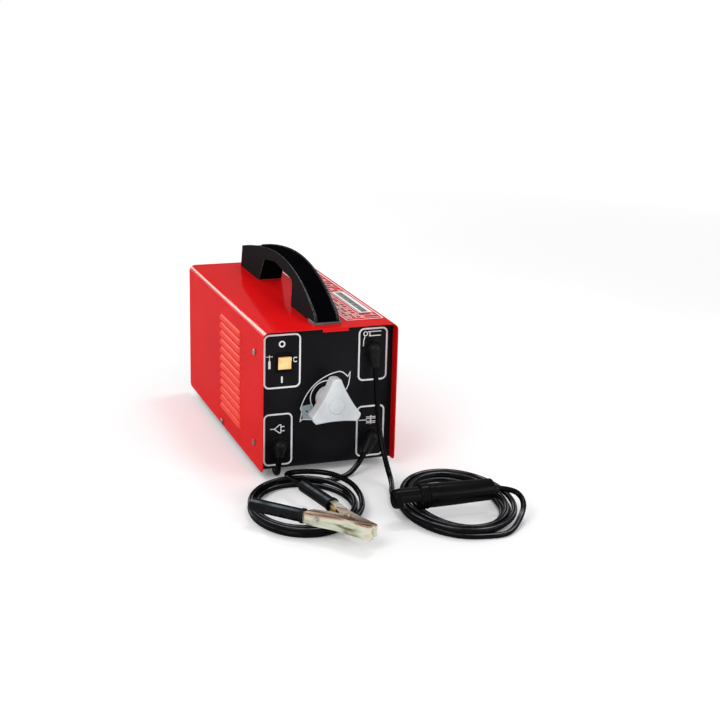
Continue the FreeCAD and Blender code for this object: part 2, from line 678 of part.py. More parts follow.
def make_pointer():
    # Flat strip bent forward, sideways and up to the slot in the top.
    t = POINTER_T
    y1 = CORE_FRONT - 4
    y0 = y1 - POINTER_REACH
    z = KNOB_Z
    x0, x1 = 14.0, LIMB_X + LIMB_W / 2 + 1.25
    seen = (WINDOW_X[0] + WINDOW_X[1]) / 2
    w = POINTER_W / 2
    arm = box((x0, x0 + t), (y0, y1), (z - 6, z + 6))
    arm = arm.fuse(box((x0, x1 + w), (y0, y0 + t), (z - 6, z + 6)))
    arm = arm.fuse(box((x1 - w, x1 + w), (y0, y0 + t), (z - 6, IN_Z - 5)))
    flag = box((min(x1, seen) - FLAG_REACH, max(x1, seen) + FLAG_REACH),
               (y0 - 3, y0 + t + 3), (IN_Z - 5, IN_Z - 3.5))
    return arm.fuse(flag).removeSplitter()


def make_guides():
    half = WINDOW_HALF - 0.1
    h = SHUNT_H / 2 + 0.4
    strips = []
    for z0 in (KNOB_Z + h, KNOB_Z - h - GUIDE_T):
        strip = box((-half, half), (CORE_FRONT, CORE_BACK), (z0, z0 + GUIDE_T))
        tongue = box((-half + 12, half - 12), (CORE_FRONT - SHUNT_TRAVEL + 10, CORE_FRONT),
                     (z0, z0 + GUIDE_T))
        strips.append(strip.fuse(tongue).removeSplitter())
    return Part.makeCompound(strips)


def make_core():
    half = CORE_W / 2
    z0, z1 = CORE_BASE, KNOB_Z + CORE_H / 2
    body = box((-half, half), (CORE_FRONT, CORE_BACK), (z0, z1))
    body = body.cut(box((-WINDOW_HALF, WINDOW_HALF), (CORE_FRONT - 1, CORE_BACK + 1),
                        (YOKE_LOW, YOKE_HIGH)))
    holes = [rod(CORE_BOLT_R + HOLE_EASE, (x, CORE_FRONT - 1, z), (x, CORE_BACK + 1, z)) for x, z in BOLTS]
    return body.cut(Part.makeCompound(holes))


def make_core_brackets():
    # Lower pair are angles that stand on the tray; the upper pair are plain bars.
    parts = []
    half = CORE_W / 2
    z1 = CORE_BASE + LIMB_W - 4
    for sign, face in ((-1, CORE_FRONT), (1, CORE_BACK)):
        y = sorted((face, face + sign * CLAMP_T))
        foot = sorted((face, face + sign * (CLAMP_T + BRACKET_FOOT)))
        angle = box((-half, half), y, (TRAY_T, z1))
        angle = angle.fuse(box((-half, half), foot, (TRAY_T, TRAY_T + CLAMP_T)))
        bar = box((-half, half), y, (BOLTS[1][1] - 9, BOLTS[1][1] + 9))
        for x, z in BOLTS:
            hole = rod(CORE_BOLT_R + HOLE_EASE, (x, y[0] - 1, z), (x, y[1] + 1, z))
            angle = angle.cut(hole)
            bar = bar.cut(hole)
        for x, yy in BRACKET_SCREWS:
            angle = angle.cut(rod(SCREW_SHANK_R + HOLE_EASE, (x, yy, 0), (x, yy, TRAY_T + CLAMP_T + 1)))
        parts += [angle.removeSplitter(), bar]
    return Part.makeCompound(parts)


def make_bracket_screws():
    # Studs pressed in flush with the tray's underside, each with a nut on what it holds down.
    studs = []
    for x, y, seat in STUDS:
        stud = rod(SCREW_SHANK_R, (x, y, 0), (x, y, seat + STUD_NUT_H + 2))
        corners = [(x + STUD_NUT_R * math.cos(math.radians(60 * i)),
                    y + STUD_NUT_R * math.sin(math.radians(60 * i)), seat) for i in range(6)]
        studs.append(stud.fuse(prism(corners, 0, (0, 0, STUD_NUT_H))).removeSplitter())
    return Part.makeCompound(studs)


def hexagon(x, y0, z, across, length):
    r = across / math.sqrt(3)
    corners = [(x + r * math.cos(math.radians(60 * i)), y0, z + r * math.sin(math.radians(60 * i)))
               for i in range(6)]
    return prism(corners, 0, (0, length, 0))


def make_core_bolts():
    bolts = []
    y0, y1 = CORE_FRONT - CLAMP_T, CORE_BACK + CLAMP_T
    for x, z in BOLTS:
        bolt = rod(CORE_BOLT_R, (x, y0 - 4, z), (x, y1 + 8, z))
        bolt = bolt.fuse(hexagon(x, y0 - 4, z, 10, 4))
        bolts.append(bolt.fuse(hexagon(x, y1, z, 10, 5)).removeSplitter())
    return Part.makeCompound(bolts)


def winding_box(x, inset, z0, z1, radius):
    w = LIMB_W / 2 + inset
    d = CORE_D / 2 + inset
    return prism([(x - w, CORE_Y - d, z0), (x + w, CORE_Y - d, z0), (x + w, CORE_Y + d, z0),
                  (x - w, CORE_Y + d, z0)], radius, (0, 0, z1 - z0))


WINDING_SPANS = {
    "primary": (YOKE_LOW + WINDING_GAP, KNOB_Z - SHUNT_H / 2 - GUIDE_T - 1.2),
    "secondary": (KNOB_Z + SHUNT_H / 2 + GUIDE_T + 1.2, YOKE_HIGH - WINDING_GAP)}


def make_windings(span):
    z0, z1 = WINDING_SPANS[span]
    z0 += FORMER_FLANGE
    z1 -= FORMER_FLANGE
    inner = WINDING_GAP + FORMER_T
    sides = []
    for x in (-LIMB_X, LIMB_X):
        body = winding_box(x, WINDING_T - WINDING_SHY, z0, z1, 9.0)
        middles = [(e, e.BoundBox.Center.z) for e in body.Edges]
        body = body.makeFillet(2.0, [e for e, z in middles if min(abs(z - z0), abs(z - z1)) < 0.01])
        sides.append(body.cut(winding_box(x, inner, z0 - 1, z1 + 1, 0)))
    return Part.makeCompound(sides)


def make_formers():
    formers = []
    for z0, z1 in WINDING_SPANS.values():
        for x in (-LIMB_X, LIMB_X):
            body = winding_box(x, WINDING_GAP + FORMER_T, z0, z1, 0)
            for low in (z0, z1 - FORMER_FLANGE):
                body = body.fuse(winding_box(x, WINDING_T, low, low + FORMER_FLANGE, 4.0))
            formers.append(body.cut(winding_box(x, WINDING_GAP, z0 - 1, z1 + 1, 0)).removeSplitter())
    return Part.makeCompound(formers)


def make_thermostat():
    z0, z1 = WINDING_SPANS["secondary"]
    y = CORE_FRONT - WINDING_T + WINDING_SHY
    z = (z0 + z1) / 2
    body = rod(8, (-LIMB_X, y - 6, z), (-LIMB_X, y, z))
    for dx in (-4, 4):
        body = body.fuse(box((-LIMB_X + dx - 2, -LIMB_X + dx + 2), (y - 14, y - 6), (z - 0.4, z + 0.4)))
    return body


def gland_end(x, z, lean):
    # Dome centre and the tip of the spout that turns the cord down.
    dome = V(x, PANEL_Y - GLAND_OUT, z)
    return dome, dome + V(*lean).normalize() * SPOUT_LEN


def make_gland(x, z, lean, length):
    # Moulded rubber: a flange on each side of the panel, a dome and a tapered spout.
    dome = V(x, PANEL_Y - GLAND_OUT, z)
    d = V(*lean).normalize()
    body = rod(GLAND_FLANGE_R, (x, PANEL_Y - 2.5, z), (x, PANEL_Y, z))
    body = body.makeFillet(1.2, [e for e in body.Edges if abs(e.BoundBox.Center.y - PANEL_Y + 2.5) < 0.01])
    body = body.fuse(rod(GLAND_DOME_R - 1.8, (x, PANEL_Y, z), (x, PANEL_Y + PANEL_T + 1, z)))
    body = body.fuse(rod(GLAND_DOME_R, (x, PANEL_Y + PANEL_T, z), (x, PANEL_Y + PANEL_T + 8, z)))
    body = body.fuse(rod(GLAND_DOME_R, (x, dome.y, z), (x, PANEL_Y - 2, z)))
    body = body.fuse(Part.makeSphere(GLAND_DOME_R, dome))
    spout = Part.makeCone(GLAND_DOME_R - 0.6, SPOUT_TIP_R, length, dome, d)
    return body.fuse(spout).removeSplitter()


# Cord routes
WELD_Z = FLOOR + WELD_LEAD_R + 0.1
MAINS_Z = FLOOR + MAINS_LEAD_R + 0.1


def sweep(edges, radius, start, heading):
    ring = Part.Wire([Part.Circle(start, heading, radius).toShape()])
    return Part.Wire(edges).makePipeShell([ring], True, False)


def cord(name, points, radius):
    # Straight runs joined by tangent arcs that take 0.45 of the shorter run.
    pts = [V(*p) for p in points]
    edges = []
    bends = []
    last = pts[0]
    for p, q, s in zip(pts, pts[1:], pts[2:]):
        turn = (q - p).getAngle(s - q)
        bend = 0.45 * min((q - p).Length, (s - q).Length) / math.tan(turn / 2)
        t0, mid, t1 = corner(p, q, s, bend)
        edges += [Part.LineSegment(last, t0).toShape(), Part.Arc(t0, mid, t1).toShape()]
        bends.append(round(bend))
        last = t1
    edges.append(Part.LineSegment(last, pts[-1]).toShape())
    length = sum(e.Length for e in edges)
    body = sweep(edges, radius, pts[0], (pts[1] - pts[0]).normalize())
    ratio = body.Volume / (math.pi * radius ** 2 * length)
    print(name, "length", round(length), "bends", bends, "volume ratio", round(ratio, 3))
    return body


def biarc(p0, t0, p1, t1):
    # Two arcs that leave p0 along t0, arrive at p1 along t1 and meet without a kink.
    v = p1 - p0
    t = t0 + t1
    k = 2 * (1 - t0.dot(t1))
    d = (-v.dot(t) + math.sqrt(v.dot(t) ** 2 + k * v.dot(v))) / k
    q0 = p0 + t0 * d
    q1 = p1 - t1 * d
    pm = (q0 + q1) * 0.5
    edges = []
    for a, q, b in ((p0, q0, pm), (pm, q1, p1)):
        reach = (q - a).Length
        half = (a - q).getAngle(b - q) / 2
        mid = ((a + b) * 0.5 - q).normalize() * (reach / math.cos(half) - reach * math.tan(half))
        edges.append(Part.Arc(a, q + mid, b).toShape())
    return edges


class Coil:
    # Loops on the floor: spirals in on one layer, changes layer in half a turn, spirals out.
    def __init__(self, centre, axes, tilt, levels, start, turns, pitch):
        self.centre = centre
        self.axes = axes
        self.tilt = math.radians(tilt)
        self.levels = levels
        self.start = start
        self.first = int(4 * turns[0])
        self.steps = self.first + 2 + int(4 * turns[1])
        self.pitch = pitch

    def place(self, q):
        change = min(max(q - self.first, 0.0), 2.0)
        inward = min(q, self.first) - max(q - self.first - 2, 0.0)
        a = self.axes[0] - self.pitch * inward / 4
        b = self.axes[1] - self.pitch * inward / 4
        angle = math.radians(self.start + 90 * q)
        x, y = a * math.cos(angle), b * math.sin(angle)
        c, s = math.cos(self.tilt), math.sin(self.tilt)
        z = self.levels[0] + (self.levels[1] - self.levels[0]) * change / 2
        return V(self.centre[0] + c * x - s * y, self.centre[1] + s * x + c * y, z)

    def heading(self, q):
        h = 0.02
        return (self.place(q + h) - self.place(q - h)).normalize()

    def ends(self):
        first, last = 0, self.steps
        return self.place(first), self.heading(first), self.place(last), self.heading(last)

    def body(self, name, radius):
        edges = []
        for q in range(self.steps):
            edges += biarc(self.place(q), self.heading(q), self.place(q + 1), self.heading(q + 1))
        solid = sweep(edges, radius, self.place(0), self.heading(0))
        length = sum(e.Length for e in edges)
        ratio = solid.Volume / (math.pi * radius ** 2 * length)
        print(name, "length", round(length), "turns", self.steps / 4, "volume ratio", round(ratio, 3),
              "least gap", round(self.least_gap(edges, radius), 2))
        return solid

    def least_gap(self, edges, radius):
        points = []
        for e in edges:
            points += e.discretize(Number=9)[:-1]
        apart = int(8 * 3)
        least = 1e9
        for i, p in enumerate(points):
            for s in points[i + apart:]:
                least = min(least, (p - s).Length)
        return least - 2 * radius


EARTH_COIL = Coil((-68.5, -304.0), (70.0, 88.0), -13.0, (WELD_Z, WELD_Z + LAYER), 90, (1.0, 1.25), 9.0)
ELECTRODE_COIL = Coil((117.3, -347.4), (75.0, 104.0), -6.4, (WELD_Z + LAYER, WELD_Z), 180, (2.0, 1.75),
                      10.0)
MAINS_COIL = Coil((37.5, 281.0), (55.0, 55.0), 0.0, (MAINS_Z, MAINS_Z + 8.6), 0, (2.25, 2.25), 10.2)


def after(point, heading, length):
    return tuple(point + heading * length)


def earth_route():
    tip = gland_end(GLAND_X, GLAND_Z[0], HANG["earth"])[1]
    down = V(*HANG["earth"]).normalize()
    land = tip + down * ((tip.z - WELD_Z) / -down.z)
    start, heading, _, _ = EARTH_COIL.ends()
    return [tuple(tip), tuple(land), (-5.0, -226.5, WELD_Z), after(start, heading, -22), tuple(start)]


def earth_tail_route():
    _, _, end, heading = EARTH_COIL.ends()
    z = end.z
    top = z + LAYER + 0.6
    return [tuple(end), after(end, heading, 22), (6.0, -272.0, z + 5.0), (-9.0, -242.0, top),
            (-32.0, -226.0, top), (-60.0, -221.0, top), (-76.0, -240.0, CLAMP_Z - 1.5),
            tuple(sleeve_end())]


def electrode_route():
    tip = gland_end(GLAND_X, GLAND_Z[1], HANG["electrode"])[1]
    start, heading, _, _ = ELECTRODE_COIL.ends()
    z = start.z
    return [tuple(tip), (GLAND_X, -206.5, 84), (GLAND_X + 0.5, -220, 41), (GLAND_X + 1, -248.0, 9),
            (59.0, -277.0, z), after(start, heading, -30), tuple(start)]


def electrode_tail_route():
    _, _, end, heading = ELECTRODE_COIL.ends()
    boot = holder_point(HOLDER_LEN + BOOT_OUT + 0.6)
    return [tuple(end), after(end, heading, 30), (153, -441, WELD_Z), (170, -424, -2.5), (183, -408, 5),
            (187, -392, 11.5), (179.5, -381, 17.5), tuple(boot)]


def mains_route():
    x = MAINS_GLAND_X
    dome = V(x, PANEL_Y - GLAND_OUT, GLAND_Z[0])
    tip = dome + V(*HANG["mains"]).normalize() * MAINS_SPOUT
    start, heading, _, _ = MAINS_COIL.ends()
    z = MAINS_Z
    below = after(tip, V(*HANG["mains"]).normalize(), 17)
    return [tuple(tip), below, (x - 2, -184.8, z), (x + 1.5, -160, z), (-44, -122, z),
            (-40, -62, z), (-34, -4, z), (-16, 52, z), (14, 98, z), (43, 138, z),
            (66, 182, z), (88, 228, z), tuple(start)]


def mains_tail_route():
    _, _, end, heading = MAINS_COIL.ends()
    return [tuple(end), after(end, heading, 34), (84, 340, 2.5), (PLUG_X + 26, PLUG_Y, PLUG_Z),
            (PLUG_X, PLUG_Y, PLUG_Z)]


# Mains plug
PLUG_Z = FLOOR + PLUG_R + 0.2


def make_plug():
    x0 = PLUG_X
    x1 = x0 - PLUG_RELIEF
    x2 = x1 - PLUG_BODY
    y, z = PLUG_Y, PLUG_Z
    profile = [(x0, y, z), (x0, y, z + 5.2), (x1 + 2, y, z + 8.5), (x1 - 6, y, z + PLUG_R - 2.5),
               (x2 + 8, y, z + PLUG_R), (x2, y, z + PLUG_R), (x2, y, z)]
    body = Part.Face(outline(profile, [0, 1.0, 5.0, 7.0, 3.0, 1.5, 0])).revolve(V(0, y, z), V(1, 0, 0), 360)
    for i in range(3):
        body = body.cut(Part.makeTorus(7.6 + 0.9 * i, 1.0, V(x0 - 5 - 5 * i, y, z), V(1, 0, 0)))
    for side in (-1, 1):
        at = y + side * PIN_PITCH / 2
        body = body.cut(rod(PIN_R + 0.02, (x2 - 1, at, z), (x2 + PIN_SEAT, at, z)))
    return body.removeSplitter()


def make_pins():
    pins = []
    x2 = PLUG_X - PLUG_RELIEF - PLUG_BODY
    for side in (-1, 1):
        y = PLUG_Y + side * PIN_PITCH / 2
        pin = rod(PIN_R, (x2 - PIN_LEN, y, PLUG_Z), (x2 + PIN_SEAT, y, PLUG_Z))
        tip = [e for e in pin.Edges if abs(e.BoundBox.Center.x - x2 + PIN_LEN) < 0.01]
        pins.append(pin.makeChamfer(0.9, tip))
    return Part.makeCompound(pins)


# Earth clamp: two folded arms on a pin
def clamp_place(shape):
    shape.rotate(V(0, 0, 0), V(0, 0, 1), CLAMP_TURN)
    shape.translate(V(CLAMP_AT[0], CLAMP_AT[1], CLAMP_Z))
    return shape


def sleeve_end():
    turn = FreeCAD.Rotation(V(0, 0, 1), CLAMP_TURN)
    return turn.multVec(V(SLEEVE_TO[0], SLEEVE_TO[1], 0)) + V(CLAMP_AT[0], CLAMP_AT[1], CLAMP_Z)


def flip(shape, side):
    return shape if side > 0 else shape.mirror(V(0, 0, 0), V(0, 1, 0))


def make_arm(side, height, wall):
    # Side 1 carries the lead and nests inside side -1 at the pin.
    h = height / 2
    outer = [(x, y, -h) for x, y in WEB]
    inner = [(-106.0, 46.0 - CHANNEL + 0.5, -h), (-46.0, 28.5 - CHANNEL, -h), (-16.0, 5.0, -h),
             (JAW, 0.15, -h)]
    blank = prism(outer + inner, [4, 30, 30, 1, 1, 20, 20, 0], (0, 0, height))
    body = blank.fuse(rod(EAR_R, (0, 0, -h), (0, 0, h)))
    t = wall
    void = [(JAW - t, 8.0 - t, -h + t), (-6.0, 14.5 - t, -h + t), (-46.0, 28.5 - t, -h + t),
            (-112.0, 47.1 - t, -h + t), (-112.0, -20, -h + t), (JAW - t, -20, -h + t)]
    body = body.cut(prism(void, [2.5, 28, 32, 0, 0, 0], (0, 0, height - 2 * t)))
    step = HANDLE_H / 2
    for s in (-1, 1):
        wedge = prism([(-38, -20, s * (h + 1)), (-38, -20, s * h), (-48, -20, s * step),
                       (-120, -20, s * step), (-120, -20, s * (h + 1))], 0, (0, 80, 0))
        body = body.cut(wedge)
        if step < h - t:
            # Close the tapered stretch with its own flange.
            plate = prism([(-36, 0, s * (h - t)), (-38, 0, s * h), (-48, 0, s * step),
                           (-108, 0, s * step), (-108, 0, s * (step - t)), (-47, 0, s * (step - t))],
                          0, (0, 60, 0))
            body = body.fuse(plate.common(blank))
    body = body.cut(rod(PIVOT_R + RUN_FIT, (0, 0, -h - 1), (0, 0, h + 1)))
    return flip(body.removeSplitter(), side)


def make_sleeve(side):
    a = V(SLEEVE_FROM[0], SLEEVE_FROM[1], 0)
    b = V(SLEEVE_TO[0], SLEEVE_TO[1], 0)
    d = (b - a).normalize()
    out = V(-d.y, d.x, 0) * -1
    if out.y < 0:
        out = out * -1
    n = (b - a).Length
    body = Part.makeCylinder(SLEEVE_R, n, a, d)
    body = body.makeFillet(3.0, [e for e in body.Edges if (e.BoundBox.Center - b).Length < 0.1])
    body = body.fuse(Part.makeCylinder(SLEEVE_FLANGE_R, 3.0, a, d))
    for i in range(3):
        c = a + d * (18 + 17 * i) + out * (SLEEVE_R + 11.5)
        body = body.cut(Part.makeCylinder(13.0, 40, c - V(0, 0, 20), V(0, 0, 1)))
    h = HANDLE_H / 2 + 0.3
    pocket = prism([(-30, 23.2, -h), (-46.0, 28.8, -h), (-108.5, 46.5, -h), (-108.5, 36.9, -h),
                    (-46.0, 19.6, -h), (-30, 14.0, -h)], 0, (0, 0, 2 * h))
    body = body.cut(pocket)
    if side > 0:
        body = body.cut(Part.makeCylinder(WELD_LEAD_R + 0.3, 8.0, b - d * 7.9, d))
    return flip(body.removeSplitter(), side)


def make_clamp_pin():
    h = ARM_H / 2
    body = rod(PIVOT_R, (0, 0, -h - 0.3), (0, 0, h + 0.3))
    for s in (-1, 1):
        body = body.fuse(rod(4.2, (0, 0, s * (h + 0.3)), (0, 0, s * (h + 1.8))))
    return body.removeSplitter()


def make_clamp_spring():
    # Torsion spring: one wire with a leg to the web of each arm.
    turns, r, wire, pitch = 3.5, 5.0, 0.9, 2.15
    z0 = -turns * pitch / 2
    rise = pitch / (2 * math.pi * r)
    knots = [(V(-21.0, -6.5, z0), V(1, 0.05, 0).normalize())]
    for i in range(int(turns * 4) + 1):
        a = math.radians(-90 + 90 * i)
        along = V(-math.sin(a), math.cos(a), rise).normalize()
        knots.append((V(r * math.cos(a), r * math.sin(a), z0 + pitch * i / 4), along))
    knots.append((V(-21.0, 16.0, -z0), V(-0.8, 0.6, 0)))
    edges = []
    for (p0, t0), (p1, t1) in zip(knots, knots[1:]):
        edges += biarc(p0, t0, p1, t1)
    return sweep(edges, wire, knots[0][0], knots[0][1])


def make_clamp_lug():
    # Crimped brass lug on the inside of the arm.
    d = V(SLEEVE_TO[0] - SLEEVE_FROM[0], SLEEVE_TO[1] - SLEEVE_FROM[1], 0).normalize()
    side = V(d.y, -d.x, 0)
    if side.y > 0:
        side = side * -1
    a = V(-30, 20.9, 0) + side * 3.6
    barrel = Part.makeCylinder(3.2, 14.0, a, d)
    tongue = Part.makeBox(9, 2.2, 9, V(0, 0, -4.5))
    tongue.rotate(V(0, 0, 0), V(0, 0, 1), math.degrees(math.atan2(-d.y, -d.x)))
    tongue.translate(a + d * 2 - side * 0.9)
    return barrel.fuse(tongue).removeSplitter()


# Electrode holder
def holder_place(shape):
    shape.rotate(V(0, 0, 0), V(0, 0, 1), HOLDER_TURN)
    shape.translate(V(*HOLDER_AT))
    return shape


def holder_point(s):
    turn = FreeCAD.Rotation(V(0, 0, 1), HOLDER_TURN)
    return turn.multVec(V(s, 0, 0)) + V(*HOLDER_AT)


NECK_END = CAP_LEN + NECK_LEN
COLLAR_END = NECK_END + COLLAR_LEN
CONTACT_FACE = CAP_LEN + 3.0


def spin(points, radii):
    # Turned form about the holder's axis from a profile of (along, radius) points.
    return Part.Face(outline([(s, 0, r) for s, r in points], radii)).revolve(V(0, 0, 0), V(1, 0, 0), 360)


def make_holder_head():
    cap = spin([(0, 0), (0, HEAD_R - 1), (CAP_LEN, HEAD_R), (CAP_LEN, 0)], [0, 3.5, 1.0, 0])
    neck = tube(HEAD_R, HEAD_R - 3.2, (CAP_LEN - 2, 0, 0), (NECK_END, 0, 0))
    neck = neck.common(box((0, NECK_END + 1), (-20, 20), (-1.5, 20)))
    collar = spin([(NECK_END, 0), (NECK_END, COLLAR_R - 1), (COLLAR_END, COLLAR_R), (COLLAR_END, 0)],
                  [0, 2.0, 1.0, 0])
    body = cap.fuse([neck, collar])
    body = body.cut(rod(CONTACT_R + 0.05, (CAP_LEN - CONTACT_SEAT, 0, 0), (CAP_LEN + 1, 0, 0)))
    body = body.cut(rod(CORE_TUBE_R + 0.02, (NECK_END + 2, 0, 0), (COLLAR_END + 1, 0, 0)))
    return body.cut(rod(PLUNGER_R + 0.4, (NECK_END - 1, 0, 0), (NECK_END + 3, 0, 0))).removeSplitter()


def make_holder_contact():
    body = rod(CONTACT_R, (CAP_LEN - CONTACT_SEAT, 0, 0), (CONTACT_FACE, 0, 0))
    groove = rod(2.2, (CONTACT_FACE + 0.9, -12, 0), (CONTACT_FACE + 0.9, 12, 0))
    return body.cut(groove)


def make_holder_plunger():
    tip = CONTACT_FACE + ROD_GAP
    end = tip + PLUNGER_LEN
    return spin([(tip, 0), (tip, PLUNGER_R), (end, PLUNGER_R), (end, 0)], [0, 1.2, 0.4, 0])


def make_holder_core():
    s0, s1 = NECK_END + 2.1, HOLDER_LEN - 6
    body = rod(CORE_TUBE_R, (s0, 0, 0), (s1, 0, 0))
    return body.cut(rod(PLUNGER_R + RUN_FIT, (s0 - 1, 0, 0), (s1 - 16, 0, 0)))


def make_holder_grip():
    s0, s1 = COLLAR_END + 0.5, HOLDER_LEN
    front, rear = GRIP_R
    body = spin([(s0, 0), (s0, front), (s0 + 30, front - 0.3), (s1, rear), (s1, 0)], [0, 1.5, 60, 3.0, 0])
    body = body.cut(rod(CORE_TUBE_R + RUN_FIT, (s0 - 1, 0, 0), (s1 + 1, 0, 0)))
    flutes = []
    for i in range(12):
        a = math.radians(30 * i)
        r0, r1 = front + 1.3, front + 0.4
        flutes.append(rod(1.6, (s0 + 10, r0 * math.cos(a), r0 * math.sin(a)),
                          (s1 - 14, r1 * math.cos(a), r1 * math.sin(a))))
    return body.cut(Part.makeCompound(flutes))


def make_holder_boot():
    s0 = HOLDER_LEN - 5.9
    s1 = HOLDER_LEN + BOOT_OUT
    return spin([(s0, 0), (s0, CORE_TUBE_R - 0.3), (HOLDER_LEN + 2, CORE_TUBE_R - 0.3),
                 (s1, WELD_LEAD_R + 1.4), (s1, 0)], [0, 0, 2, 0.8, 0])


def make_wires(name):
    low = (WINDING_SPANS["primary"][0] + WINDING_SPANS["primary"][1]) / 2
    high = (WINDING_SPANS["secondary"][0] + WINDING_SPANS["secondary"][1]) / 2
    inside = PANEL_Y + PANEL_T + 8
    face = CORE_FRONT - WINDING_T + WINDING_SHY
    if name == "output_wires":
        outer = IN_X - 6
        end = LIMB_X + LIMB_W / 2 + WINDING_T - 7
        right = [(GLAND_X, inside, GLAND_Z[1]), (GLAND_X, inside + 25, GLAND_Z[1]), (outer, -115, 150),
                 (outer, -70, 134), (end, -35, high), (end, face + 0.35, high)]
        left = [(GLAND_X, inside, GLAND_Z[0]), (GLAND_X, inside + 25, GLAND_Z[0]), (30, -112, 30),
                (-20, -85, 40), (-70, -60, 62), (-78, -38, 100), (-74, -28, high), (-70, face, high)]
        radius = WELD_LEAD_R - 0.5
        return [cord("electrode wire", right, radius), cord("earth wire", left, radius)]
    rear = PANEL_Y + SWITCH_DEPTH + TAB_LEN
    mains = [(MAINS_GLAND_X, inside, GLAND_Z[0]), (MAINS_GLAND_X, inside + 16, GLAND_Z[0]), (-74, -135, 60),
             (-74, -130, 100), (-68, -134, 130), (SWITCH_X - 5, rear + 14, SWITCH_Z - 7),
             (SWITCH_X - 5, rear, SWITCH_Z - 7)]
    winding = [(SWITCH_X + 5, rear, SWITCH_Z - 7), (SWITCH_X + 5, rear + 22, SWITCH_Z - 7), (-46, -95, 112),
               (-44, -62, 84), (-48, -34, low), (-48, face, low)]
    return [cord("mains wire", mains, 2.2), cord("winding wire", winding, 2.2)]


os.makedirs("parts", exist_ok=True)

NODES = {
    "cover": make_cover,
    "base_tray": make_tray,
    "front_panel": make_front_panel,
    "rear_panel": make_rear_panel,
    "cover_screws": make_cover_screws,
    "feet": make_feet,
    "foot_screws": make_foot_screws,
    "handle": make_handle,
    "handle_screws": make_handle_screws,
    "scale_window": make_window,
    "switch_housing": make_switch_housing,
    "switch_rocker": make_rocker,
    "switch_tabs": make_switch_tabs,
    "knob": make_knob,
    "knob_cap": make_knob_cap,
    "knob_bushing": make_bushing,
    "lead_screw": make_lead_screw,
    "screw_bracket": make_screw_bracket,
    "shunt_block": make_shunt,
    "shunt_nut": make_nut,
    "shunt_pointer": make_pointer,
    "shunt_guides": make_guides,
    "core": make_core,
    "core_brackets": make_core_brackets,
    "bracket_screws": make_bracket_screws,
    "core_bolts": make_core_bolts,
    "primary_windings": lambda: make_windings("primary"),
    "secondary_windings": lambda: make_windings("secondary"),
    "winding_formers": make_formers,
    "thermostat": make_thermostat,
    "output_wires": lambda: Part.makeCompound(make_wires("output_wires")),
    "mains_wires": lambda: Part.makeCompound(make_wires("mains_wires")),
    "mains_gland": lambda: make_gland(MAINS_GLAND_X, GLAND_Z[0], HANG["mains"], MAINS_SPOUT),
    "earth_gland": lambda: make_gland(GLAND_X, GLAND_Z[0], HANG["earth"], SPOUT_LEN),
    "electrode_gland": lambda: make_gland(GLAND_X, GLAND_Z[1], HANG["electrode"], SPOUT_LEN),
    "mains_lead": lambda: cord("mains_lead", mains_route(), MAINS_LEAD_R),
    "mains_coil": lambda: MAINS_COIL.body("mains_coil", MAINS_LEAD_R),
    "mains_tail": lambda: cord("mains_tail", mains_tail_route(), MAINS_LEAD_R),
    "mains_plug": make_plug,
    "plug_pins": make_pins,
    "earth_lead": lambda: cord("earth_lead", earth_route(), WELD_LEAD_R),
    "earth_coil": lambda: EARTH_COIL.body("earth_coil", WELD_LEAD_R),
    "earth_tail": lambda: cord("earth_tail", earth_tail_route(), WELD_LEAD_R),
    "clamp_arm_lead": lambda: clamp_place(make_arm(1, INNER_ARM_H, ARM_T - 0.4)),
    "clamp_arm_moving": lambda: clamp_place(make_arm(-1, ARM_H, ARM_T)),
    "clamp_sleeve_lead": lambda: clamp_place(make_sleeve(1)),
    "clamp_sleeve_moving": lambda: clamp_place(make_sleeve(-1)),
    "clamp_pin": lambda: clamp_place(make_clamp_pin()),
    "clamp_spring": lambda: clamp_place(make_clamp_spring()),
    "clamp_lug": lambda: clamp_place(make_clamp_lug()),
    "electrode_lead": lambda: cord("electrode_lead", electrode_route(), WELD_LEAD_R),
    "electrode_coil": lambda: ELECTRODE_COIL.body("electrode_coil", WELD_LEAD_R),
    "electrode_tail": lambda: cord("electrode_tail", electrode_tail_route(), WELD_LEAD_R),
    "holder_head": lambda: holder_place(make_holder_head()),
    "holder_contact": lambda: holder_place(make_holder_contact()),
    "holder_core": lambda: holder_place(make_holder_core()),
    "holder_plunger": lambda: holder_place(make_holder_plunger()),
    "holder_grip": lambda: holder_place(make_holder_grip()),
    "holder_boot": lambda: holder_place(make_holder_boot()),
}

for node, build in NODES.items():
    save(node, build())
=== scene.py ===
"""A stick welding machine with its leads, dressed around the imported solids.

The frame is the solids' own: metres, +Z up, front towards -Y. Named places and sizes of pieces are in
millimetres, and MM turns them into metres. Numbers inside materials and the studio are in metres."""

import math

import bmesh
import bpy
from mathutils import Matrix, Vector


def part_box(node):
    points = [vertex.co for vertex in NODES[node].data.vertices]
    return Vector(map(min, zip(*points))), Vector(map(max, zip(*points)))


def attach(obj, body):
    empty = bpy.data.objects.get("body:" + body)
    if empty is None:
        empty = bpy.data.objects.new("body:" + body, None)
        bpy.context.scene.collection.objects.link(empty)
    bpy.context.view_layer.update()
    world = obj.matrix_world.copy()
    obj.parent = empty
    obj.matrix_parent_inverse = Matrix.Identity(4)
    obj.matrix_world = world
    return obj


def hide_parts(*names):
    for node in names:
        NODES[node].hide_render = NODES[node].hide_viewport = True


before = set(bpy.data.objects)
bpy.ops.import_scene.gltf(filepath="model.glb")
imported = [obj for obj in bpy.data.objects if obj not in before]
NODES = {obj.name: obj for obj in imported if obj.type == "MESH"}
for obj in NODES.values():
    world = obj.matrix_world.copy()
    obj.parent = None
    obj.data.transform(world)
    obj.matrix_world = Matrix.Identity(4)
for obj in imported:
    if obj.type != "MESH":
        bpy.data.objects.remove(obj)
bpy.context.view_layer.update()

MM = 0.001
UP = Vector((0, 0, 1))


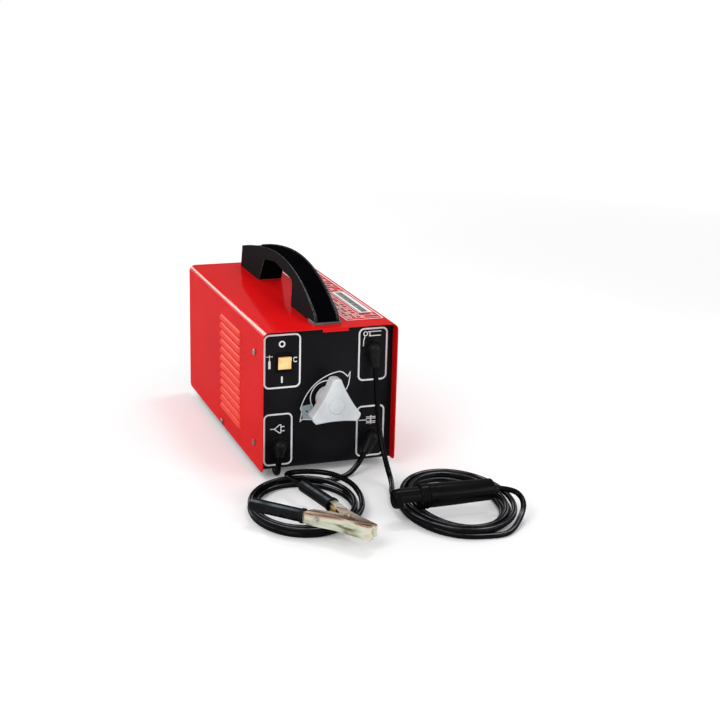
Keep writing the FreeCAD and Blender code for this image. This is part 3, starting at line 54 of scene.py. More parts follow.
def link(name, data):
    thing = bpy.data.objects.new(name, data)
    bpy.context.scene.collection.objects.link(thing)
    return thing


# Camera, at the angle and distance of the photograph
CAMERA_AT = Vector((-574.0, -1840.1, 668.1)) * MM
CAMERA_AZIMUTH = -20.50
CAMERA_ELEVATION = 16.63
CAMERA_ROLL = 1.46
FOCAL_PIXELS = 1399.5
FRAME_PIXELS = 720
SENSOR = 36.0
CLIP_START = 50.0


def make_camera():
    azimuth, elevation, roll = (math.radians(v) for v in (CAMERA_AZIMUTH, CAMERA_ELEVATION, CAMERA_ROLL))
    flat = math.cos(elevation)
    back = Vector((math.sin(azimuth) * flat, -math.cos(azimuth) * flat, math.sin(elevation)))
    right = UP.cross(back).normalized()
    up = back.cross(right)
    turned_right = right * math.cos(roll) + up * math.sin(roll)
    turned_up = up * math.cos(roll) - right * math.sin(roll)
    data = bpy.data.cameras.new("camera")
    data.sensor_width = SENSOR
    data.lens = FOCAL_PIXELS * SENSOR / FRAME_PIXELS
    data.clip_start = CLIP_START * MM
    camera = link("camera", data)
    axes = Matrix((turned_right, turned_up, back)).transposed().to_4x4()
    camera.matrix_world = Matrix.Translation(CAMERA_AT) @ axes
    bpy.context.scene.camera = camera


make_camera()

# Cords: the same routes as the solids, as smooth splines
FLOOR = -12.0
WELD_LEAD_R = 3.5
MAINS_LEAD_R = 4.0
WELD_Z = FLOOR + WELD_LEAD_R + 0.1
MAINS_Z = FLOOR + MAINS_LEAD_R + 0.1
LAYER = 7.6
MAINS_LAYER = 8.6
GLAND_DOME_Y = -191.0
GLAND_X = 62.5
MAINS_GLAND_X = -66.5
LOW_GLAND_Z = 33.0
HIGH_GLAND_Z = 156.0
SPOUT_LEN = 24.0
MAINS_SPOUT_LEN = 14.0
# Directions in which the spouts of the glands point
MAINS_HANG = Vector((-0.10, -0.15, -0.98)).normalized()
EARTH_HANG = Vector((-0.55, -0.30, -0.78)).normalized()
ELECTRODE_HANG = Vector((0.0, -0.21, -0.98)).normalized()
# Points to a loop
COIL_POINTS = 24
# Clamp: its pin, its turn in degrees and the end of the sleeve that its lead enters, from the pin
CLAMP_AT = Vector((-49.7, -405.7, 12.8))
CLAMP_TURN = -62.9
SLEEVE_TO = Vector((-117.0, 44.4, 0.0))
# Holder: its head, its turn in degrees and how far behind the head its lead enters
HOLDER_AT = Vector((21.5, -372.5, 19.2))
HOLDER_TURN = -1.5
HOLDER_END = 140.6
# Plug: where its lead enters
PLUG_X = 40.0
PLUG_Y = 349.5
PLUG_Z = 6.2


def spout_tip(x, z, hang, length):
    return Vector((x, GLAND_DOME_Y, z)) + hang * length


def turned(point, angle, at):
    return Matrix.Rotation(math.radians(angle), 3, "Z") @ Vector(point) + at


class Coil:
    """Oval loops on the floor that spiral in on one level, change level in half a turn and spiral out.

    axes are the oval's half widths, tilt and start are in degrees, turns is (in, out), and pitch is how
    much each loop is drawn in. Places along the coil are counted in quarter turns."""

    def __init__(self, centre, axes, tilt, levels, start, turns, pitch):
        self.centre = centre
        self.axes = axes
        self.tilt = math.radians(tilt)
        self.levels = levels
        self.start = start
        self.quarters_in = int(4 * turns[0])
        self.quarters = self.quarters_in + 2 + int(4 * turns[1])
        self.pitch = pitch

    def place(self, quarter):
        past = quarter - self.quarters_in
        change = min(max(past, 0.0), 2.0)
        inward = min(quarter, self.quarters_in) - max(past - 2, 0.0)
        angle = math.radians(self.start + 90 * quarter)
        x = (self.axes[0] - self.pitch * inward / 4) * math.cos(angle)
        y = (self.axes[1] - self.pitch * inward / 4) * math.sin(angle)
        c, s = math.cos(self.tilt), math.sin(self.tilt)
        z = self.levels[0] + (self.levels[1] - self.levels[0]) * change / 2
        return Vector((self.centre[0] + c * x - s * y, self.centre[1] + s * x + c * y, z))

    def heading(self, quarter):
        step = 0.02
        return (self.place(quarter + step) - self.place(quarter - step)).normalized()

    def start_run(self, length):
        return self.place(0) - self.heading(0) * length

    def end_run(self, length):
        return self.place(self.quarters) + self.heading(self.quarters) * length

    def points(self):
        count = self.quarters * COIL_POINTS // 4
        return [self.place(4 * i / COIL_POINTS) for i in range(count + 1)]


EARTH_COIL = Coil((-68.5, -304.0), (70.0, 88.0), -13.0, (WELD_Z, WELD_Z + LAYER),
                  start=90, turns=(1.0, 1.25), pitch=9.0)
ELECTRODE_COIL = Coil((117.3, -347.4), (75.0, 104.0), -6.4, (WELD_Z + LAYER, WELD_Z),
                      start=180, turns=(2.0, 1.75), pitch=10.0)
MAINS_COIL = Coil((37.5, 281.0), (55.0, 55.0), 0.0, (MAINS_Z, MAINS_Z + MAINS_LAYER),
                  start=0, turns=(2.25, 2.25), pitch=10.2)


def earth_route():
    tip = spout_tip(GLAND_X, LOW_GLAND_Z, EARTH_HANG, SPOUT_LEN)
    landing = tip - EARTH_HANG * ((tip.z - WELD_Z) / EARTH_HANG.z)
    top = WELD_Z + 2 * LAYER + 0.6
    sleeve_end = turned(SLEEVE_TO, CLAMP_TURN, CLAMP_AT)
    lead = [tip, landing, (-5.0, -226.5, WELD_Z), EARTH_COIL.start_run(22)]
    tail = [EARTH_COIL.end_run(22), (6.0, -272.0, WELD_Z + LAYER + 5.0), (-9.0, -242.0, top),
            (-32.0, -226.0, top), (-60.0, -221.0, top), (-76.0, -240.0, CLAMP_AT.z - 1.5), sleeve_end]
    return lead + EARTH_COIL.points() + tail


def electrode_route():
    tip = spout_tip(GLAND_X, HIGH_GLAND_Z, ELECTRODE_HANG, SPOUT_LEN)
    boot_end = turned((HOLDER_END, 0, 0), HOLDER_TURN, HOLDER_AT)
    lead = [tip, (62.5, -206.5, 84), (63, -220, 41), (63.5, -248.0, 9), (59.0, -277.0, WELD_Z + LAYER),
            ELECTRODE_COIL.start_run(30)]
    tail = [ELECTRODE_COIL.end_run(30), (153, -441, WELD_Z), (170, -424, -2.5), (183, -408, 5),
            (187, -392, 11.5), (179.5, -381, 17.5), boot_end]
    return lead + ELECTRODE_COIL.points() + tail


def mains_route():
    tip = spout_tip(MAINS_GLAND_X, LOW_GLAND_Z, MAINS_HANG, MAINS_SPOUT_LEN)
    x, z = MAINS_GLAND_X, MAINS_Z
    lead = [tip, tip + MAINS_HANG * 17, (x - 2, -184.8, z), (x + 1.5, -160, z), (-44, -122, z),
            (-40, -62, z), (-34, -4, z), (-16, 52, z), (14, 98, z), (43, 138, z), (66, 182, z),
            (88, 228, z)]
    tail = [MAINS_COIL.end_run(34), (84, 340, 2.5), (66, PLUG_Y, PLUG_Z), (PLUG_X, PLUG_Y, PLUG_Z)]
    return lead + MAINS_COIL.points() + tail


def spline_object(name, points, radius):
    """A smooth cord. Its points carry the radius, so the curve's own depth is 1."""
    curve = bpy.data.curves.new(name, "CURVE")
    curve.dimensions = "3D"
    curve.resolution_u = 6
    curve.bevel_depth = 1.0
    curve.bevel_resolution = 6
    curve.use_fill_caps = True
    spline = curve.splines.new("NURBS")
    spline.points.add(len(points) - 1)
    for control, place in zip(spline.points, points):
        control.co = (*(Vector(place) * MM), 1)
        control.radius = radius * MM
    spline.order_u = 3
    spline.use_endpoint_u = True
    return link(name, curve)


HOLDER_NODES = ["holder_head", "holder_contact", "holder_core", "holder_plunger", "holder_grip",
                "holder_boot"]
CLAMP_NODES = ["clamp_arm_lead", "clamp_arm_moving", "clamp_sleeve_lead", "clamp_sleeve_moving",
               "clamp_pin", "clamp_spring", "clamp_lug"]
PLUG_NODES = ["mains_plug", "plug_pins"]
# Name, route, radius, length in metres, far end and the pieces that the far end carries
CORDS = [
    ("mains", mains_route(), MAINS_LEAD_R, 1.97, "plug", PLUG_NODES),
    ("earth", earth_route(), WELD_LEAD_R, 1.60, "tool", CLAMP_NODES),
    ("electrode", electrode_route(), WELD_LEAD_R, 2.50, "tool", HOLDER_NODES),
]


def make_cord(name, route, radius, length, far_end, carried):
    thing = spline_object(name + "_cable", route, radius)
    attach(thing, "case")
    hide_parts(name + "_lead", name + "_coil", name + "_tail")
    return thing


CABLES = [make_cord(*cord) for cord in CORDS]

# Surface finishes: every colour, roughness and relief varies through noise laid out in metres

# Part of a noise's range over which the colours of a finish follow one another
RAMP_FROM = 0.35
RAMP_TO = 0.65
# Lines that a wave texture of scale 1 draws to a metre
WAVE_LINES = 20 / math.tau
# How far a bevel's normal agrees with the surface's: on a flat face, and on an edge that is worn through
EDGE_FLAT = 0.985
EDGE_FULL = 0.86
# Ranges over which painted light sets in: a painted highlight along folds and shoulders, and painted light
# on upright sides.
# A fold's is the sideways part of its normal times the upward part, which is 0.5 in its middle. On
# shoulders they are the upward part, and on an upright side the sideways part.
FOLD_LEAN = (0.468, 0.497)
SHOULDER_FROM = (0.68, 0.82)
SHOULDER_TO = (0.91, 0.97)
UPRIGHT = (0.90, 0.98)


def srgb(red, green, blue):
    channels = [c / 255 for c in (red, green, blue)]
    linear = [c / 12.92 if c <= 0.04045 else ((c + 0.055) / 1.055) ** 2.4 for c in channels]
    return (*linear, 1.0)


def noise(tree, scale, detail=4.0, stretch=(1, 1, 1), turn=0.0):
    """Noise laid out in metres. turn is the direction of the stretch about Z, in degrees."""
    coords = tree.nodes.new("ShaderNodeTexCoord")
    rotated = tree.nodes.new("ShaderNodeVectorRotate")
    rotated.rotation_type = "Z_AXIS"
    rotated.inputs["Angle"].default_value = math.radians(-turn)
    mapping = tree.nodes.new("ShaderNodeMapping")
    mapping.inputs["Scale"].default_value = stretch
    texture = tree.nodes.new("ShaderNodeTexNoise")
    texture.inputs["Scale"].default_value = scale
    texture.inputs["Detail"].default_value = detail
    tree.links.new(coords.outputs["Object"], rotated.inputs["Vector"])
    tree.links.new(rotated.outputs["Vector"], mapping.inputs["Vector"])
    tree.links.new(mapping.outputs["Vector"], texture.inputs["Vector"])
    return texture.outputs["Fac"]


def bands(tree, axis, pitch):
    """Fine, slightly uneven lines across one axis, such as stacked sheets or wound wire."""
    coords = tree.nodes.new("ShaderNodeTexCoord")
    wave = tree.nodes.new("ShaderNodeTexWave")
    wave.bands_direction = axis
    wave.inputs["Scale"].default_value = 1 / pitch / WAVE_LINES
    wave.inputs["Distortion"].default_value = 0.4
    tree.links.new(coords.outputs["Object"], wave.inputs["Vector"])
    return wave.outputs["Fac"]


def ramp(tree, factor, colours):
    node = tree.nodes.new("ShaderNodeValToRGB")
    stops = node.color_ramp.elements
    while len(stops) < len(colours):
        stops.new(0.5)
    for i, colour in enumerate(colours):
        stops[i].position = RAMP_FROM + (RAMP_TO - RAMP_FROM) * i / (len(colours) - 1)
        stops[i].color = colour
    tree.links.new(factor, node.inputs["Fac"])
    return node.outputs["Color"]


def spread(tree, factor, low, high, start=0.3, end=0.7):
    """From low to high while the factor goes from start to end, and level outside that."""
    node = tree.nodes.new("ShaderNodeMapRange")
    for socket, value in (("From Min", start), ("From Max", end), ("To Min", low), ("To Max", high)):
        node.inputs[socket].default_value = value
    tree.links.new(factor, node.inputs["Value"])
    return node.outputs["Result"]


def edges(tree, width):
    """0 on the faces, rising to 1 along sharp or tightly rounded edges."""
    bevel = tree.nodes.new("ShaderNodeBevel")
    bevel.samples = 8
    bevel.inputs["Radius"].default_value = width
    geometry = tree.nodes.new("ShaderNodeNewGeometry")
    dot = tree.nodes.new("ShaderNodeVectorMath")
    dot.operation = "DOT_PRODUCT"
    tree.links.new(bevel.outputs["Normal"], dot.inputs[0])
    tree.links.new(geometry.outputs["Normal"], dot.inputs[1])
    return spread(tree, dot.outputs["Value"], 0.0, 1.0, EDGE_FLAT, EDGE_FULL)


def axis_part(tree, vector, axis, absolute=False):
    parts = tree.nodes.new("ShaderNodeSeparateXYZ")
    tree.links.new(vector, parts.inputs["Vector"])
    if not absolute:
        return parts.outputs[axis]
    node = tree.nodes.new("ShaderNodeMath")
    node.operation = "ABSOLUTE"
    tree.links.new(parts.outputs[axis], node.inputs[0])
    return node.outputs["Value"]


def place_along(tree, axis, absolute=False):
    coords = tree.nodes.new("ShaderNodeTexCoord")
    return axis_part(tree, coords.outputs["Object"], axis, absolute)


def normal_along(tree, axis, absolute=False):
    geometry = tree.nodes.new("ShaderNodeNewGeometry")
    return axis_part(tree, geometry.outputs["Normal"], axis, absolute)


def maths(tree, operation, first, second):
    node = tree.nodes.new("ShaderNodeMath")
    node.operation = operation
    tree.links.new(first, node.inputs[0])
    tree.links.new(second, node.inputs[1])
    return node.outputs["Value"]


def multiply(tree, first, second):
    return maths(tree, "MULTIPLY", first, second)


def along_fold(tree, height):
    """1 along the middle of the rounded folds above a height in metres, 0 on level and upright faces."""
    lean = multiply(tree, normal_along(tree, "X", absolute=True), normal_along(tree, "Z"))
    above = spread(tree, place_along(tree, "Z"), 0.0, 1.0, height - 0.0005, height)
    return multiply(tree, spread(tree, lean, 0.0, 1.0, *FOLD_LEAN), above)


def along_shoulder(tree, height):
    """1 along the upper shoulders of round pieces that lie below a height in metres, in broken streaks,
    where a highlight is painted.
    """
    up = normal_along(tree, "Z")
    shoulder_highlight = multiply(tree, spread(tree, up, 0.0, 1.0, *SHOULDER_FROM),
                        spread(tree, up, 1.0, 0.0, *SHOULDER_TO))
    low = spread(tree, place_along(tree, "Z"), 1.0, 0.0, height, height + 0.003)
    streaks = spread(tree, noise(tree, 26.0, 3.0), 0.10, 1.0, 0.40, 0.60)
    return multiply(tree, multiply(tree, shoulder_highlight, low), streaks)


def blend_colour(tree, factor, first, second):
    node = tree.nodes.new("ShaderNodeMix")
    node.data_type = "RGBA"
    tree.links.new(factor, node.inputs["Factor"])
    tree.links.new(first, node.inputs[6])
    node.inputs[7].default_value = second
    return node.outputs[2]


def relief(tree, shader, height, depth):
    node = tree.nodes.new("ShaderNodeBump")
    node.inputs["Strength"].default_value = 1.0
    node.inputs["Distance"].default_value = depth
    tree.links.new(height, node.inputs["Height"])
    tree.links.new(node.outputs["Normal"], shader.inputs["Normal"])


def finish(name, colours, rough, grain=60.0, texture=900.0, depth=0.00002, stretch=(1, 1, 1), turn=0.0,
           edge=None, **sockets):
    """A Principled material. colours follow one another in patches, and rough is (least, most) roughness.
    grain and texture are the scales of the patches and of the fine relief, and depth is how deep that is.
    stretch and turn draw both out, and edge is (width, colour) of edges that are paler from wear and from a
    painted highlight."""
    material = bpy.data.materials.new(name)
    material.use_nodes = True
    tree = material.node_tree
    shader = tree.nodes["Principled BSDF"]
    colour = ramp(tree, noise(tree, grain, 5.0, stretch, turn), colours)
    if edge:
        # Edges turn paler, for wear and as a painted highlight.
        width, edge_wear_and_highlight = edge
        patchy = spread(tree, noise(tree, 220.0), 0.25, 1.0)
        colour = blend_colour(tree, multiply(tree, edges(tree, width), patchy), colour, edge_wear_and_highlight)
    tree.links.new(colour, shader.inputs["Base Color"])
    roughness = spread(tree, noise(tree, grain * 2.3, 5.0, stretch, turn), *rough)
    tree.links.new(roughness, shader.inputs["Roughness"])
    relief(tree, shader, noise(tree, texture, 2.0, stretch, turn), depth)
    for socket, value in sockets.items():
        shader.inputs[socket.replace("_", " ")].default_value = value
    return material


def tint(material, factor, colour):
    """Lays a second colour over a finish, where the factor is 1."""
    tree = material.node_tree
    base = tree.nodes["Principled BSDF"].inputs["Base Color"]
    tree.links.new(blend_colour(tree, factor, base.links[0].from_socket, colour), base)


def layered(name, colours, rough, axis, pitch, depth, **sockets):
    """As finish, with the relief and a darkening between parallel layers across one axis."""
    material = finish(name, colours, rough, **sockets)
    tree = material.node_tree
    lines = bands(tree, axis, pitch)
    darker = tuple(c * 0.45 for c in colours[0][:3]) + (1.0,)
    tint(material, spread(tree, lines, 0.85, 0.0, 0.0, 0.35), darker)
    relief(tree, tree.nodes["Principled BSDF"], lines, depth)
    return material


def shoulder_highlighted(name, colours, rough, shoulder_highlight, height, **sockets):
    """As finish, with a painted highlight along the upper shoulders of round lying pieces."""
    material = finish(name, colours, rough, **sockets)
    tint(material, along_shoulder(material.node_tree, height), shoulder_highlight)
    return material


COVER_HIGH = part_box("cover")[1]
# How far inside the widest reach of the louvres their painted highlight starts and is full
LOUVRE_HIGHLIGHT_REACH = (2.5, 2.0)
FOLD_R = 9.4


def red_coat():
    """Red powder coat, with a painted highlight on the louvres and along the two long folds."""
    material = finish("red_coat", [srgb(212, 16, 20), srgb(222, 22, 24)], (0.34, 0.44), grain=9,
                      texture=900, depth=0.000004, edge=(0.0005, srgb(236, 80, 70)),
                      Specular_IOR_Level=0.0, Coat_Weight=0.10, Coat_Roughness=0.10)
    tree = material.node_tree
    out = [COVER_HIGH.x - inside * MM for inside in LOUVRE_HIGHLIGHT_REACH]
    # Painted highlight: the louvres' outer faces are paler.
    tint(material, spread(tree, place_along(tree, "X", absolute=True), 0.0, 1.0, *out), srgb(240, 70, 54))
    # Painted highlight along the middle of both long folds.
    tint(material, along_fold(tree, COVER_HIGH.z - FOLD_R * MM), srgb(255, 214, 204))
    return material


RED = red_coat()
BLACK_COAT = finish("black_coat", [srgb(14, 14, 17), srgb(24, 24, 28)], (0.30, 0.40), grain=14,
                    texture=1200, depth=0.000006, edge=(0.0006, srgb(58, 58, 62)), Specular_IOR_Level=0.08)


def handle_plastic():
    """Black plastic, with painted light that makes its upright sides greyer than its top, and a painted
    highlight along its edges.
    """
    material = finish("handle_plastic", [srgb(5, 5, 7), srgb(10, 10, 12)], (0.34, 0.42), grain=12,
                      texture=1500, depth=0.00001, edge=(0.0026, srgb(126, 134, 136)),
                      Specular_IOR_Level=0.0)
    sideways = normal_along(material.node_tree, "X", absolute=True)
    # Painted light: the upright sides are greyer than the top.
    tint(material, spread(material.node_tree, sideways, 0.0, 1.0, *UPRIGHT), srgb(38, 36, 37))
    return material


HANDLE_BLACK = handle_plastic()
GLOSS_BLACK = finish("moulded_black", [srgb(6, 6, 7), srgb(12, 12, 14)], (0.22, 0.34), grain=35,
                     texture=900, depth=0.00002, edge=(0.0008, srgb(56, 56, 60)), Specular_IOR_Level=0.0,
                     Coat_Weight=0.10, Coat_Roughness=0.18)
# The knob's near-white edges are a painted highlight.
KNOB_GREY = finish("knob_grey", [srgb(202, 206, 209), srgb(232, 235, 238)], (0.26, 0.38), grain=18,
                   texture=1500, depth=0.000008, edge=(0.0012, srgb(246, 248, 250)), Subsurface_Weight=0.08,
                   Subsurface_Scale=0.004)
# The lens's faint glow is painted light.
LENS = finish("orange_lens", [srgb(252, 186, 112), srgb(255, 220, 166)], (0.10, 0.20), grain=60,
              texture=700, depth=0.00001, Coat_Weight=0.4, Coat_Roughness=0.05, Subsurface_Weight=0.2,
              Subsurface_Scale=0.003, Emission_Color=srgb(255, 184, 108), Emission_Strength=0.30)
FOOT_STRIP = finish("foot_strip", [srgb(84, 92, 90), srgb(112, 120, 118)], (0.34, 0.46), grain=40,
                    texture=900, depth=0.00001, edge=(0.0006, srgb(128, 138, 136)), Specular_IOR_Level=0.20)
RUBBER = finish("rubber", [srgb(11, 11, 12), srgb(20, 20, 21)], (0.42, 0.58), grain=60, texture=1200,
                depth=0.00003, edge=(0.0008, srgb(50, 50, 52)), Specular_IOR_Level=0.05, Coat_Weight=0.12,
                Coat_Roughness=0.25)
# The cords and the clamp's sleeves carry a painted highlight in streaks along their upper shoulders.
SHEATH = shoulder_highlighted("cable_sheath", [srgb(3, 3, 4), srgb(8, 8, 10)], (0.20, 0.32),
                shoulder_highlight=srgb(122, 122, 128), height=0.003, grain=30, texture=420, depth=0.00002,
                Specular_IOR_Level=0.0, Coat_Weight=0.13, Coat_Roughness=0.12)
SLEEVE_BLACK = shoulder_highlighted("sleeve_plastic", [srgb(7, 8, 9), srgb(20, 22, 23)], (0.30, 0.44),
                      shoulder_highlight=srgb(98, 106, 110), height=0.030, grain=40, texture=700, depth=0.00003,
                      edge=(0.0008, srgb(70, 74, 76)), Specular_IOR_Level=0.0, Coat_Weight=0.14,
                      Coat_Roughness=0.24)
# The arm that the lead enters: the direction in which its plating streaks run, and its height
NEAR_ARM_TURN = CLAMP_TURN + math.degrees(math.atan2(-SLEEVE_TO.y, SLEEVE_TO.x))
ARM_H = 18.0


def yellow_zinc():
    """Passivated zinc: tints of its own that run in streaks along the arm, with a painted reflection and
    shade that change them from its foot to its top.
    """
    tints = [srgb(108, 96, 72), srgb(178, 188, 158), srgb(216, 214, 196), srgb(200, 178, 154),
             srgb(120, 86, 68)]
    material = finish("yellow_zinc", tints, (0.16, 0.28), texture=500, depth=0.000002, stretch=(0.10, 1, 1),
                      turn=NEAR_ARM_TURN, edge=(0.0007, srgb(244, 240, 220)), Metallic=0.65)
    # The streaks and the height pick the tint, in place of the finish's own patches; the height adds the
    # painted reflection and shade.
    tree = material.node_tree
    tinting = [node for node in tree.nodes if node.type == "VALTORGB"][0]
    streaks = spread(tree, noise(tree, 130.0, 4.0, (0.07, 1, 1), NEAR_ARM_TURN), 0.28, 0.55, 0.28, 0.72)
    foot = (CLAMP_AT.z - ARM_H / 2) * MM
    height = spread(tree, place_along(tree, "Z"), 0.0, 0.17, foot, foot + ARM_H * MM)
    tree.links.new(maths(tree, "ADD", streaks, height), tinting.inputs["Fac"])
    return material


YELLOW_ZINC = yellow_zinc()
GOLD_ZINC = finish("gold_zinc", [srgb(186, 138, 48), srgb(232, 192, 96)], (0.20, 0.32), grain=90,
                   texture=1500, depth=0.00001, edge=(0.0004, srgb(250, 230, 160)), Metallic=1.0)
DULL_ZINC = finish("dull_zinc", [srgb(92, 84, 80), srgb(150, 142, 136)], (0.30, 0.44), grain=90,
                   texture=1500, depth=0.00001, edge=(0.0006, srgb(206, 200, 194)), Metallic=1.0)
BRIGHT_ZINC = finish("bright_zinc", [srgb(158, 160, 160), srgb(198, 200, 202)], (0.26, 0.40), grain=60,
                     texture=1500, depth=0.00001, edge=(0.0005, srgb(226, 228, 230)), Metallic=1.0)
STEEL = finish("steel", [srgb(140, 142, 146), srgb(188, 190, 194)], (0.20, 0.36), grain=90, texture=2000,
               depth=0.00001, stretch=(1, 6, 1), Metallic=1.0)
BRASS = finish("brass", [srgb(172, 132, 66), srgb(208, 170, 96)], (0.24, 0.40), grain=80, texture=1600,
               depth=0.00001, edge=(0.0005, srgb(232, 204, 140)), Metallic=1.0)
LAMINATION = layered("laminated_steel", [srgb(62, 64, 70), srgb(96, 98, 104)], (0.35, 0.55),
                     axis="Y", pitch=0.00065, depth=0.0002, Metallic=0.6)
COPPER = layered("enamelled_wire", [srgb(118, 52, 26), srgb(168, 84, 42)], (0.20, 0.34),
                 axis="Z", pitch=0.0024, depth=0.0006, Coat_Weight=0.5)
FORMER = finish("former_plastic", [srgb(196, 190, 172), srgb(222, 216, 200)], (0.40, 0.55), grain=60,
                texture=1200, depth=0.00002)
WHITE_INK = finish("white_ink", [srgb(238, 239, 240), srgb(248, 249, 250)], (0.40, 0.55), grain=300,
                   texture=2500, depth=0.000003)
BLUE_INK = finish("blue_grey_ink", [srgb(146, 160, 170), srgb(168, 184, 194)], (0.35, 0.50), grain=200,
                  texture=2500, depth=0.000003)
DARK_INK = finish("dark_ink", [srgb(46, 16, 18), srgb(66, 24, 26)], (0.40, 0.55), grain=300, texture=2500,
                  depth=0.000003)
CREAM_INK = finish("cream_ink", [srgb(222, 176, 160), srgb(236, 206, 190)], (0.40, 0.55), grain=300,
                   texture=2500, depth=0.000003)
PANE = finish("clear_pane", [srgb(38, 42, 42), srgb(82, 84, 82), srgb(132, 130, 124)], (0.06, 0.14),
              grain=110, texture=300, depth=0.000005, Transmission_Weight=0.30, IOR=1.20)

NODE_FINISHES = {
    RED: ["cover"],
    BLACK_COAT: ["base_tray", "front_panel", "rear_panel"],
    HANDLE_BLACK: ["handle"],
    GLOSS_BLACK: ["switch_housing", "thermostat", "mains_plug", "holder_head", "holder_grip"],
    SLEEVE_BLACK: ["clamp_sleeve_lead", "clamp_sleeve_moving"],
    KNOB_GREY: ["knob", "knob_cap"],
    LENS: ["switch_rocker"],
    RUBBER: ["feet", "mains_gland", "earth_gland", "electrode_gland", "holder_boot"],
    SHEATH: ["mains_wires", "output_wires"],
    YELLOW_ZINC: ["clamp_arm_lead", "clamp_arm_moving", "clamp_pin"],
    DULL_ZINC: ["cover_screws"],
    BRIGHT_ZINC: ["foot_screws", "handle_screws", "core_brackets", "bracket_screws", "core_bolts",
                  "screw_bracket", "shunt_pointer", "plug_pins"],
    GOLD_ZINC: ["clamp_spring"],
    STEEL: ["lead_screw"],
    BRASS: ["knob_bushing", "switch_tabs", "shunt_nut", "clamp_lug", "holder_contact", "holder_core",
            "holder_plunger"],
    LAMINATION: ["core", "shunt_block"],
    COPPER: ["primary_windings", "secondary_windings"],
    FORMER: ["winding_formers", "shunt_guides"],
    PANE: ["scale_window"],
}


def paint(thing, material):
    thing.data.materials.clear()
    thing.data.materials.append(material)


for material, names in NODE_FINISHES.items():
    for name in names:
        paint(NODES[name], material)
for cable in CABLES:
    paint(cable, SHEATH)


def mesh_object(name, mesh):
    data = bpy.data.meshes.new(name)
    mesh.to_mesh(data)
    mesh.free()
    return link(name, data)


def solid_piece(name, mesh, material, body, bevel=0.0):
    bmesh.ops.recalc_face_normals(mesh, faces=list(mesh.faces))
    if bevel:
        bmesh.ops.bevel(mesh, geom=list(mesh.edges), offset=bevel * MM, segments=2, profile=0.5,
                        affect="EDGES")
    thing = mesh_object(name, mesh)
    paint(thing, material)
    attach(thing, body)


def raise_faces(mesh, faces, direction):
    """Turns flat faces into solids that stand on them."""
    copy = bmesh.ops.extrude_face_region(mesh, geom=faces, use_keep_orig=True)
    tops = [part for part in copy["geom"] if isinstance(part, bmesh.types.BMVert)]
    bmesh.ops.translate(mesh, verts=tops, vec=direction)


# Small trim: the strip round the handle's front foot and the bolt through the clamp's moving arm
CONTACT = 0.05
STRIP_T = 1.2
STRIP_H = 3.2
STRIP_REACH = 26.0
STRIP_BEVEL = 0.35
# The line of the moving arm's front face, from the pin outwards, and how far along it the bolt is
ARM_FACE = (Vector((-6.0, -14.5, 0.0)), Vector((-46.0, -28.5, 0.0)))
BOLT_X = -28.0
BOLT_R = 3.6
BOLT_T = 3.2
BOLT_SHANK_R = 2.0
BOLT_SHANK_T = 1.6
BOLT_BEVEL = 0.3


def make_foot_strip():
    low, high = (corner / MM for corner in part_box("handle"))
    inner, front, back = high.x + CONTACT, low.y - CONTACT, low.y + STRIP_REACH
    outer, outer_front = inner + STRIP_T, front - STRIP_T
    outline = [(-outer, back), (-outer, outer_front), (outer, outer_front), (outer, back),
               (inner, back), (inner, front), (-inner, front), (-inner, back)]
    mesh = bmesh.new()
    face = mesh.faces.new([mesh.verts.new(Vector((x, y, low.z + CONTACT)) * MM) for x, y in outline])
    raise_faces(mesh, [face], UP * STRIP_H * MM)
    solid_piece("handle_foot_strip", mesh, FOOT_STRIP, "case", STRIP_BEVEL)


def make_clamp_bolt():
    start, end = ARM_FACE
    along = (end - start).normalized()
    at = start + along * ((BOLT_X - start.x) / along.x)
    side = turned(along, CLAMP_TURN, Vector())
    outward = UP.cross(side)
    centre = turned(at, CLAMP_TURN, CLAMP_AT) + outward * CONTACT
    mesh = bmesh.new()
    # The head, then the end of the shank on it
    for radius, sides, base, height in ((BOLT_R, 6, 0.0, BOLT_T),
                                        (BOLT_SHANK_R, 16, BOLT_T + CONTACT, BOLT_SHANK_T)):
        turns = [math.tau * (i + 0.5) / sides for i in range(sides)]
        ring = [centre + outward * base + (side * math.cos(a) + UP * math.sin(a)) * radius for a in turns]
        face = mesh.faces.new([mesh.verts.new(corner * MM) for corner in ring])
        raise_faces(mesh, [face], outward * height * MM)
    solid_piece("clamp_bolt", mesh, BRIGHT_ZINC, "clamp_moving", BOLT_BEVEL)


make_foot_strip()
make_clamp_bolt()

# Printed marks: ink as thin solid shapes on the front panel, the window and the top
INK_T = 0.06
PANEL_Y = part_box("front_panel")[0].y / MM
TOP_Z = COVER_HIGH.z / MM
PANE_LOW, PANE_HIGH = (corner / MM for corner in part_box("scale_window"))
# Limits how far the corner of a line reaches out where it turns back sharply
SHARPEST_MITRE = 0.4


def on_panel(point, lift):
    return Vector((point.x, PANEL_Y - lift, point.y)) * MM


def on_panel_ink(point, lift):
    return on_panel(point, lift + INK_T)


def on_top(point, lift):
    return Vector((point.x, point.y, TOP_Z + lift)) * MM


def on_pane(point, lift):
    return Vector((point.x, point.y, PANE_HIGH.z + lift)) * MM


